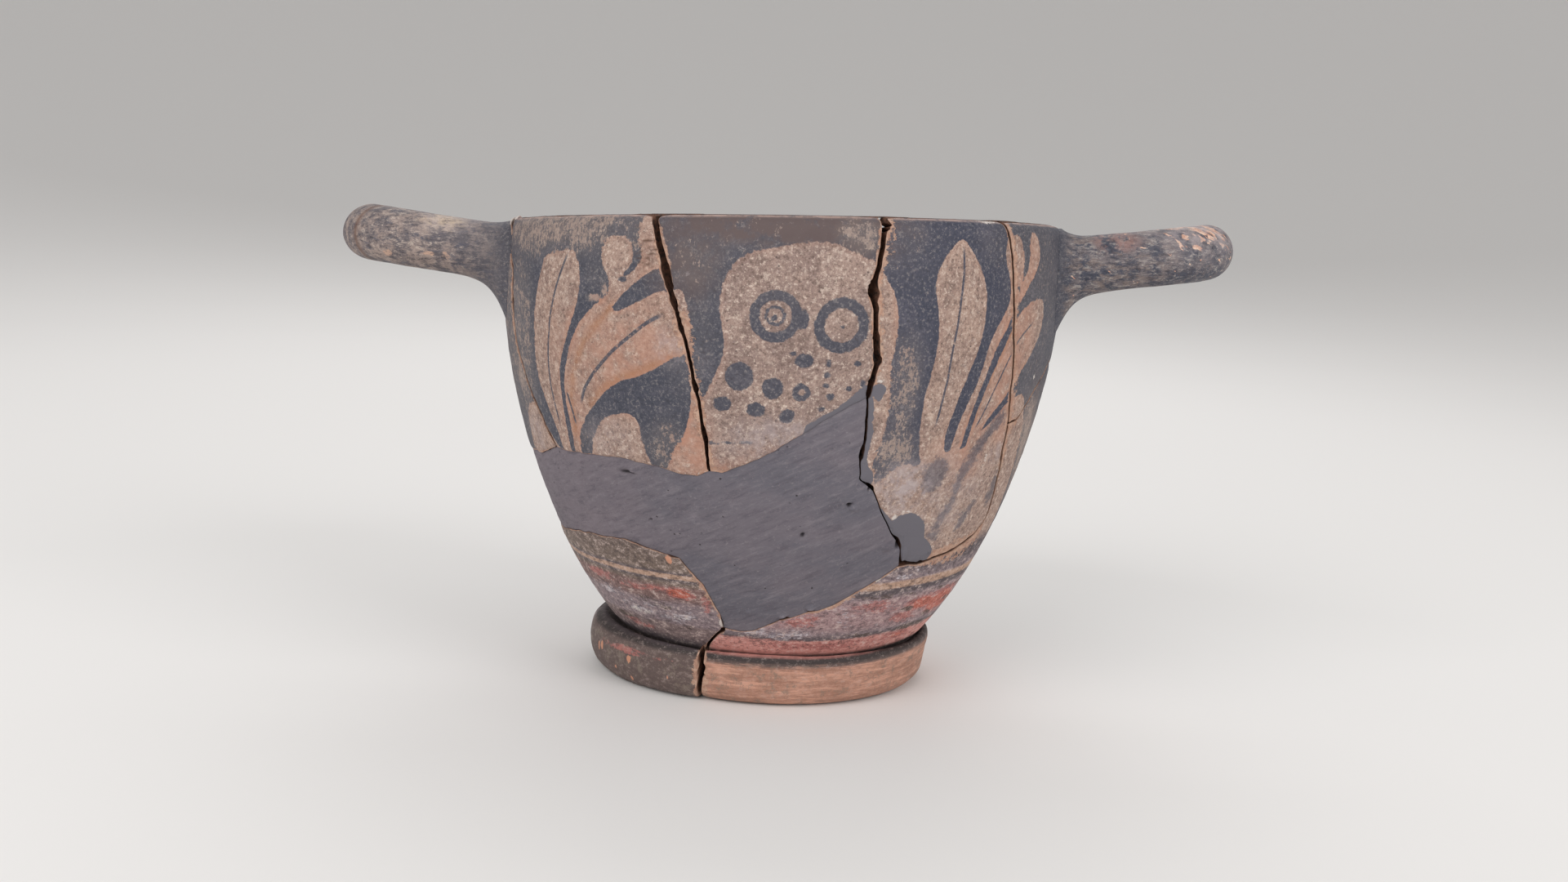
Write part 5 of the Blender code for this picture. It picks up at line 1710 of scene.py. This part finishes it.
@dataclass(frozen=True)
class SherdFinish:
    """A sherd's look: its clay, its slip, how worn it is and which bands it carries."""

    name: str
    light: Colour = (168, 142, 129)
    dark: Colour = (149, 125, 115)
    warm: Colour = (178, 132, 112)
    bare: Colour = (166, 124, 104)
    deep: Colour = (64, 67, 80)
    thin: Colour = (88, 87, 97)
    scuffed: Colour = (152, 139, 131)
    brown: Colour = (91, 77, 77)
    pale: Colour = (172, 160, 161)
    wear: float = 0.12
    chips: float = 0.10
    grain: float = 1.0
    bands: Ground = Ground.NONE
    grip: Grip = Grip.NONE
    roughness: float = 0.62

    def make(self) -> bpy.types.Material:
        """The finish as a material: its paint, then bare edges, lime, breaks painted dark as shade inside the
        cracks, and the inside.
        """
        material, board = new_material(self.name)
        clay = board.use("Fired clay", Light=self.light, Dark=self.dark, Grain=self.grain)
        colour, slip = self.painted(board, clay["Color"])
        if self.bands is not Ground.NONE:
            colour = self.banded(board, colour)
        if self.grip is not Grip.NONE:
            colour = self.gripped(board, colour)
        colour = colour.over(board["pale"] * board.noise(3.0, 5, 0.75).step(0.36, 0.62) * 0.75, self.pale)
        colour = colour.over(board.noise(1.6, 5, 0.8).step(0.60, 0.74) * 0.35, (176, 166, 166))
        chipped = board.use("Chipped edge", Edge=board["edge"], Reach=board["chip"] + self.chips)["Bare"]
        bare_clay = board.mix(board.noise(0.9, 5, 0.8).step(0.38, 0.62), self.bare, (192, 160, 140))
        colour = colour.over(chipped * 0.85, bare_clay).over(board["groove"] * 0.75, (92, 70, 58))
        lip = board["high"].step(*LIP) * board.noise(1.6, 4, 0.7).step(0.30, 0.60)
        colour = colour.over(lip * 0.8, (180, 150, 138))
        crumbs = (board.noise(0.8, 5, 0.85) - 0.5) * 1.5
        lime = (board["cream"] * 0.55 + crumbs).step(0.36, 0.50) * board["cream"].step(0.02, 0.2)
        colour = colour.over(lime * 0.9, (206, 197, 190))
        if self.bands is Ground.NONE:
            brushed = (board["over"] + (board.noise(1.1, 4, 0.65) - 0.5) * 0.9).step(-0.05, 0.10)
            colour = colour.over(brushed, (104, 101, 108))
        # Painted shade: the fracture faces inside the cracks are painted dark brown to near black
        fracture = board.mix(board.noise(1.0, 4, 0.7).step(0.35, 0.60), (52, 40, 36), (112, 78, 62))
        broken = board["broken"]
        colour = colour.over(broken * board["depth"].step(0.0, 0.12), fracture)
        lining = board.use("Gloss slip", Deep=(70, 67, 74), Thin=(104, 94, 94), Thinness=0.06)["Color"]
        colour = colour.over(board["inside"], lining)
        shine = board.math("MULTIPLY_ADD", board.noise(1.5, 3, 0.6), 0.1, self.roughness + 0.14 - slip * 0.16)
        height = clay["Height"] * 0.45 + board.noise(0.4, 3, 0.75) * (broken * 1.6 + 0.30)
        lines = board.noise(0.8, 3, 0.6, scale=(0.06, 0.06, 1.0))
        height = height + lines * 0.30 + slip * 0.12 + chipped * -0.45
        board.shade(colour, shine, 0.3, height, strength=0.7, distance=0.00022)
        return material

    def painted(self, board: Board, clay: Wire) -> tuple[Wire, Wire]:
        """The clay with the picture and the slip over it.

        Args:
            board: the material's nodes.
            clay: the clay's colour.

        Returns:
            The colour, and where there is slip.
        """
        drawn_in, warm, worn = board["clay"], board["warm"], board["worn"]
        contour = drawn_in.step(1.1, 0.1) * 0.35
        warmth = warm * board.noise(3.2, 5, 0.7).step(0.30, 0.60) + contour * warm + contour * 0.35
        clay = clay.over(board.math("MINIMUM", warmth, 1.0) * 0.85, self.warm)
        clay = clay.over(board["ochre"] * board.noise(2.0, 4, 0.7).step(0.25, 0.60) * 0.55, (158, 108, 74))
        glaze = board.use("Gloss slip", Deep=self.deep, Thin=self.thin, Thinness=0.0)["Color"]
        glaze = glaze.over(board["brown"] * board.noise(3.0, 4, 0.65).step(0.25, 0.60), self.brown)
        shift = board.noise(0.9, 5, 0.75) - 0.5
        drawn = (drawn_in + shift * (worn * 2.4 + 0.7)).step(-0.09, 0.09)
        rib = abs(board["rib"]).step(1.9, 1.1) * board["rib_on"] * board.noise(0.9, 4, 0.7).step(0.30, 0.46)
        marked = (board["mark"] + shift * 1.1).step(-0.10, 0.12)
        faint = (board["faint"] + shift * 5.0).step(-0.7, 0.8)
        dark = rib * 0.95 | marked * 0.96 | faint * 0.72
        slip = (1.0 - drawn) | dark
        shield = drawn_in.step(-2.4, -0.8) * board.noise(5.0, 3, 0.6).step(0.35, 0.55) * 0.35
        wear = worn * (1.0 - shield) + self.wear
        flaked = board.use("Flaked", Wear=wear)["Mask"]
        worn_glaze = glaze.over(wear * 0.26, self.scuffed).over(flaked * 0.88, clay.over(0.55, self.scuffed))
        return clay.over(slip, worn_glaze), slip

    def gripped(self, board: Board, colour: Wire) -> Wire:
        """The colour with the handle's own mottling, from its root outwards, and on the left handle a line of
        painted shade at its bend.
        """
        along = (0.45, 0.8, 1.3)
        broad, blots = board.noise(3.4, 5, 0.75), board.noise(1.8, 4, 0.75, 0.5, along)
        fine, out = board.noise(0.8, 5, 0.85, 0.4, along), board["out"]
        if self.grip is Grip.LEFT:
            warm = board["warm"]
            tone = board.mix(broad.step(0.42, 0.58), (100, 93, 96), (150, 134, 127))
            tone = tone.over(blots.step(0.53, 0.62) * 0.6, (78, 80, 94))
            tone = tone.over(fine.step(0.53, 0.63) * 0.7, (192, 176, 164))
            tone = tone.over(fine.step(0.48, 0.38) * 0.7, (58, 54, 60))
            tone = tone.over(board["pale"].step(0.1, 0.9) * fine.step(0.36, 0.56) * 0.85, (206, 184, 160))
            spots = (warm + (fine - 0.5) * 2.4).step(0.40, 0.56) * warm.step(0.05, 0.2)
            # Warm chips, then a thin dark line of painted shade across the loop where it bends away at its
            # end
            tone = tone.over(spots * 0.85, (192, 158, 138)).over(board["bend_shade"] * 0.8, (104, 76, 64))
            tone = tone.over(out.step(0.45, 0.15) * 0.4, (78, 80, 90))
            return colour.over(out.step(0.0, 0.15), tone)
        tone = board.mix(broad.step(0.42, 0.58), (70, 72, 84), (110, 102, 104))
        tone = tone.over(blots.step(0.50, 0.58) * out.step(0.8, 0.4) * 0.45, (140, 122, 112))
        tone = tone.over(fine.step(0.52, 0.62) * 0.7, (166, 158, 152))
        tone = tone.over(fine.step(0.48, 0.38) * 0.7, (48, 48, 56))
        tone = tone.over(board["warm"] * broad.step(0.40, 0.56), (150, 112, 104))
        edge = 0.68 - board["pale"] * 0.20
        streaks = board.noise(1.7, 3, 0.6, 0.35, (0.55, 0.9, 1.5), slant=-0.45).step(edge, edge + 0.03)
        tone = tone.over(streaks * 0.95, board.mix(fine.step(0.42, 0.58), (190, 136, 112), (230, 196, 172)))
        return colour.over(out.step(0.0, 0.06), tone)

    def banded(self, board: Board, colour: Wire) -> Wire:
        """The colour with the bands of the lower body and the foot, their deposits and their worn red."""
        stops = LEFT_BANDS if self.bands is Ground.LEFT else RIGHT_BANDS
        top, at, red, level = stops[-1][0], board["high"], board["red"], (0.2, 0.2, 1.0)
        loose = at.step(20.8, 18.5) * at.step(9.0, 11.0)
        high = at + (board.noise(2.2, 6, 0.75, scale=level) - 0.5) * (loose * 3.4 + 0.6)
        if self.bands is Ground.RIGHT:
            high = high + board["arc"].step(15.0, 65.0) * -0.9
        tone = board.ramp(high / top, [(place / top, tone.value) for place, tone in stops])
        vivid = board.mix(red.step(1.06, 1.16), (168, 105, 99), (184, 95, 75))
        stone = board.noise(1.1, 5, 0.85, scale=level).step(0.46, 0.55)
        stone = board.mix(stone, (106, 98, 107), (206, 198, 203))
        for amount, share, deposit in ((red, 0.9, vivid), (board["lilac"], 0.85, stone),
                                       (board["brown"], 0.9, (82, 68, 62))):
            tone = tone.over(board.use("Crust", Amount=amount)["Mask"] * share, deposit)
        grain = board.noise(0.9, 5, 0.9, scale=(0.6, 0.6, 1.0))
        held = at.step(9.2, 10.4) * 0.44 + 0.22
        tone = tone.over(grain.step(0.52, 0.62) * held, (206, 186, 178))
        tone = tone.over(grain.step(0.49, 0.40) * held, (66, 56, 57))
        return self.footed(board, tone).over(high.step(top - 3.0, top), colour)

    def footed(self, board: Board, tone: Wire) -> Wire:
        """The bands' colour with the foot's marks: chips and mottling left, level lines and pocks right."""
        foot, mottle = board["high"].step(8.2, 7.2), board.noise(2.6, 5, 0.8).step(0.53, 0.62)
        if self.bands is Ground.LEFT:
            chips = (board["warm"] + (mottle - 0.5) * 0.3).step(0.35, 0.50)
            return tone.over(mottle * foot * 0.40, (144, 132, 118)).over(chips * 0.9, (200, 142, 114))
        lines = board.noise(0.9, 5, 0.8, scale=(0.09, 0.09, 1.0))
        tone = tone.over(lines.step(0.50, 0.60) * foot * 0.65, (210, 160, 138))
        tone = tone.over(lines.step(0.49, 0.40) * foot * 0.45, (132, 94, 78))
        return tone.over(mottle * foot * 0.65, (128, 111, 99))


@dataclass(frozen=True)
class FillFinish:
    """Grey paint brushed over plaster."""

    name: str = "Grey fill"
    tone: Colour = (104, 101, 109)
    light: Colour = (112, 106, 113)
    dark: Colour = (90, 85, 93)
    slant: float = 0.45
    roughness: float = 0.78

    def make(self) -> bpy.types.Material:
        """The finish as a material: two greys in brush strokes, dusty flecks and dark pits, with its edge
        faces darkened as painted shade.
        """
        material, board = new_material(self.name)
        strokes = board.noise(0.9, 6, 0.8, scale=(0.16, 0.3, 1.0), slant=self.slant)
        grain, clouds = board.noise(0.6, 5, 0.85), board.noise(8.0, 4, 0.6, scale=(0.5, 0.5, 1.0))
        tone = board.mix(clouds.step(0.38, 0.62), self.tone, self.light)
        # Painted light: the fill lightens towards the left, the side the light falls on
        tone = tone.over(board["arc"].step(-12.0, -45.0) * 0.6, (126, 115, 121))
        tone = tone.over(strokes.step(0.50, 0.36) * 0.65, self.dark)
        tone = tone.over(strokes.step(0.52, 0.64) * 0.60, (130, 123, 129))
        tone = tone.over(grain.step(0.55, 0.68) * 0.65, (144, 136, 140))
        pinholes = board.cells(1.6).step(0.13, 0.08) * board.noise(3.0, 2, 0.5).step(0.54, 0.60)
        tone = tone.over(pinholes * 0.85, (56, 50, 54)).over(board["pit"].step(0.15, 0.6) * 0.9, (48, 44, 47))
        # Painted shade: the fill's edge faces, where it meets the sherds, are painted near black
        broken = tone.over(board["depth"].step(0.02, 0.15), (60, 54, 54))
        height = strokes * 0.8 + grain * 0.55 + pinholes * -0.5
        colour = broken.over(board["inside"], tone)
        board.shade(colour, self.roughness, 0.2, height, strength=0.8, distance=0.00025)
        return material


@dataclass
class Studio:
    """A plain pale floor, soft light from large panels and the camera at the photograph's angle."""

    floor_tone: Colour = (236, 234, 232)
    floor_roughness: float = 0.9
    floor_below: float = 0.0002
    floor_flat: float = 0.8
    floor_bend: float = 4.0
    floor_sides: int = 96
    floor_steps: int = 20
    sky: float = 0.50
    sky_tone: tuple[float, ...] = (1.0, 0.99, 0.985, 1.0)
    aim: tuple[float, float, float] = (0.0, 0.0, 0.045)
    sensor: float = 36.0
    near: float = 0.01
    camera_at: tuple[float, float, float] = (1.406, -272.353, 74.960)
    dips: float = math.radians(6.798)
    rolls: float = 0.0570572
    lens: float = 33.604
    panels: tuple = (
        # Name, place, size, power
        ("key", (-0.60, -0.85, 0.60), 0.8, 6.5),
        ("fill", (0.85, -0.70, 0.52), 0.7, 5.3),
        ("back", (0.0, 0.9, 0.9), 0.9, 4.5),
    )

    def build(self) -> None:
        """Makes the floor, the light, the camera and the plain colour response."""
        self.floor()
        self.lights()
        self.camera()
        scene = bpy.context.scene
        scene.view_settings.view_transform = "Standard"
        scene.view_settings.look = "None"

    def floor(self) -> None:
        """A flat round floor just under the foot, rising gently to its far rim like a wide dish."""
        mesh = bpy.data.meshes.new("floor")
        sides, bend = self.floor_sides, self.floor_bend
        rises = [math.radians(2.5 * step) for step in range(self.floor_steps)]
        turns = [math.tau * k / sides for k in range(sides)]
        rims = [(self.floor_flat + bend * math.sin(rise), bend * (1 - math.cos(rise)) - self.floor_below)
                for rise in rises]
        corners = [(rim * math.cos(turn), rim * math.sin(turn), height)
                   for rim, height in rims for turn in turns]
        faces = [tuple(range(sides))]
        for row, k in product(range(0, len(corners) - sides, sides), range(sides)):
            after = (k + 1) % sides
            faces.append((row + k, row + sides + k, row + sides + after, row + after))
        mesh.from_pydata(corners, [], faces)
        mesh.shade_smooth()
        plane = bpy.data.objects.new("floor", mesh)
        bpy.context.scene.collection.objects.link(plane)
        tone = bpy.data.materials.new("Floor")
        tone.use_nodes = True
        shader = tone.node_tree.nodes["Principled BSDF"]
        shader.inputs["Base Color"].default_value = linear(*self.floor_tone)
        shader.inputs["Roughness"].default_value = self.floor_roughness
        mesh.materials.append(tone)

    def lights(self) -> None:
        """An even sky and three large panels turned to the vessel."""
        world = bpy.data.worlds.new("Studio")
        bpy.context.scene.world = world
        world.use_nodes = True
        sky = world.node_tree.nodes["Background"]
        sky.inputs["Color"].default_value = self.sky_tone
        sky.inputs["Strength"].default_value = self.sky
        aim = Vector(self.aim)
        for name, place, size, power in self.panels:
            light = bpy.data.lights.new(name, "AREA")
            light.size = size
            light.energy = power
            lamp = bpy.data.objects.new(name, light)
            lamp.location = place
            lamp.rotation_euler = (aim - Vector(place)).to_track_quat("-Z", "Y").to_euler()
            bpy.context.scene.collection.objects.link(lamp)

    def camera(self) -> None:
        """The camera, from its place, its dip below level and its roll."""
        data = bpy.data.cameras.new("Camera")
        data.lens = self.lens
        data.sensor_width = self.sensor
        data.sensor_fit = "HORIZONTAL"
        data.clip_start = self.near
        right = Vector((1, 0, 0))
        forward = Vector((0, math.cos(self.dips), -math.sin(self.dips)))
        up = right.cross(forward)
        across = right * math.cos(self.rolls) + up * math.sin(self.rolls)
        above = up * math.cos(self.rolls) - right * math.sin(self.rolls)
        turn = Matrix((across, above, -forward)).transposed().to_4x4()
        camera = bpy.data.objects.new("Camera", data)
        camera.matrix_world = Matrix.Translation(Vector(self.camera_at) * MM) @ turn
        bpy.context.scene.collection.objects.link(camera)
        bpy.context.scene.camera = camera


@dataclass
class Skyphos:
    """The whole vessel: seven sherds, two of them with their handles, and the fill."""

    left_handle: Handle = field(default_factory=lambda: Handle(
        side=-1, rod=10.4, reach=80.7, drop=6.2, rise=3.8, worn_end=0.72, seed=101, shade_line=0.86,
        patch=((-59.5, -19.0, 79.8), (4.6, 9.0, 2.0)),
        spots=((-69.3, 73.4, 1.1, 0.8, 0.6), (-59.0, 73.4, 0.9, 0.9, 0.6), (-61.8, 73.7, 1.6, 0.4, 0.55))))
    right_handle: Handle = field(default_factory=lambda: Handle(
        side=1, rod=9.6, reach=81.8, drop=6.9, rise=3.0, worn_end=0.10, seed=131, shade_line=2.0,
        patch=((74.0, -12.0, 85.5), (12.0, 16.0, 4.5)), spots=((57.0, 82.6, 4.0, 2.0, 0.6),)))

    def wall_sherds(self) -> list[Sherd]:
        """The sherds with the size of their grids, which are closest where the picture is."""
        back, front, low = (float(PROFILE.station_of(share)) for share in (0.34, 0.42, 0.20))
        left = (Notch(-21.0, 82.6, 2.6, 0.35), Notch(-18.8, 76.0, 7.0, 0.32))
        middle = (Notch(14.3, 71.5, 1.1, 1.1), Notch(15.9, 82.2, 0.9, 0.5), Notch(-20.6, 82.6, 2.4, 0.3),
                  Notch(-18.2, 76.0, 7.0, 0.22))
        right = (Notch(15.0, 71.3, 1.1, 0.6), Notch(16.2, 81.6, 0.9, 0.8), Notch(15.2, 50.0, 4.5, 0.24),
                 Notch(26.8, 31.2, 1.6, 0.5), Notch(30.0, 26.4, 1.6, 0.6), Notch(51.0, 29.9, 4.0, 0.3))
        return [
            Sherd("left_handle_sherd", -189.5, -51.5, 0.44, lip_rows(back, 0.44)),
            Sherd("left_leaf_sherd", -72, -11.5, 0.34, lip_rows(front, 0.34), left),
            Sherd("owl_sherd", -25, 20, 0.32, lip_rows(front, 0.32), middle),
            Sherd("right_leaf_sherd", 15.5, 64, 0.34, lip_rows(low, 0.34), right),
            Sherd("right_handle_sherd", 44, 174, 0.44, lip_rows(back + 2.5, 0.44)),
        ]

    def foot_sherds(self) -> list[Sherd]:
        """The two sherds that carry the foot, with coarser grids under it."""
        waist, rest, seam = PROFILE.marks["waist"], PROFILE.marks["rest_outer"], CRACKS.seam_degrees
        recess = PROFILE.marks["recess"] - 0.8
        left_top, right_top = PROFILE.station_of(0.44), PROFILE.station_of(0.71)
        under = ((recess, rest, 0.45), (rest, waist, 0.36))
        left = steps((waist * 0.27, recess, 0.9), *under, (waist, left_top, 0.42))
        right = steps((0.0, recess, 1.2), *under, (waist, right_top, 0.55))
        return [
            Sherd("left_foot_sherd", -153.5, -11.5, 0.55, left, proud=True, wheel=0.08),
            Sherd("right_foot_sherd", seam, seam + 360, 0.82, right, whole_round=True, wheel=0.08),
        ]

    def finishes(self) -> list[SherdFinish]:
        """The finishes of the wall's and the foot's sherds, in their order."""
        return [
            SherdFinish("Worn slip of the left handle's sherd", wear=0.45, grip=Grip.LEFT),
            SherdFinish("Leaves on the left"),
            SherdFinish("Owl", light=(157, 134, 124), dark=(137, 116, 109), brown=(85, 71, 72)),
            SherdFinish("Leaves on the right", deep=(57, 61, 78), thin=(80, 80, 94)),
            SherdFinish("Slate slip of the right handle's sherd", wear=0.25, grip=Grip.RIGHT),
            SherdFinish("Left bands and foot", wear=0.2, bands=Ground.LEFT),
            SherdFinish("Right bands and foot", wear=0.2, bands=Ground.RIGHT),
        ]

    def build(self) -> None:
        """Builds each sherd in order and then the fill."""
        for group in (clay_group, glaze_group, fleck_group, chipped_group, crust_group):
            group()
        handles = {"left_handle_sherd": self.left_handle, "right_handle_sherd": self.right_handle}
        for sherd, finish in zip([*self.wall_sherds(), *self.foot_sherds()], self.finishes()):
            sherd.build(finish.make(), handles.get(sherd.name))
        rows = steps((PROFILE.station_of(0.055), PROFILE.station_of(0.64), 0.38))
        FillSherd("grey_fill", -118.5, 35, 0.40, rows).build(FillFinish().make())


def main() -> None:
    """Builds the studio and the vessel round the frame."""
    logging.basicConfig(level=logging.INFO, format="%(message)s", stream=sys.stdout)
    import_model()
    Studio().build()
    Skyphos().build()


if __name__ == "__main__":
    main()
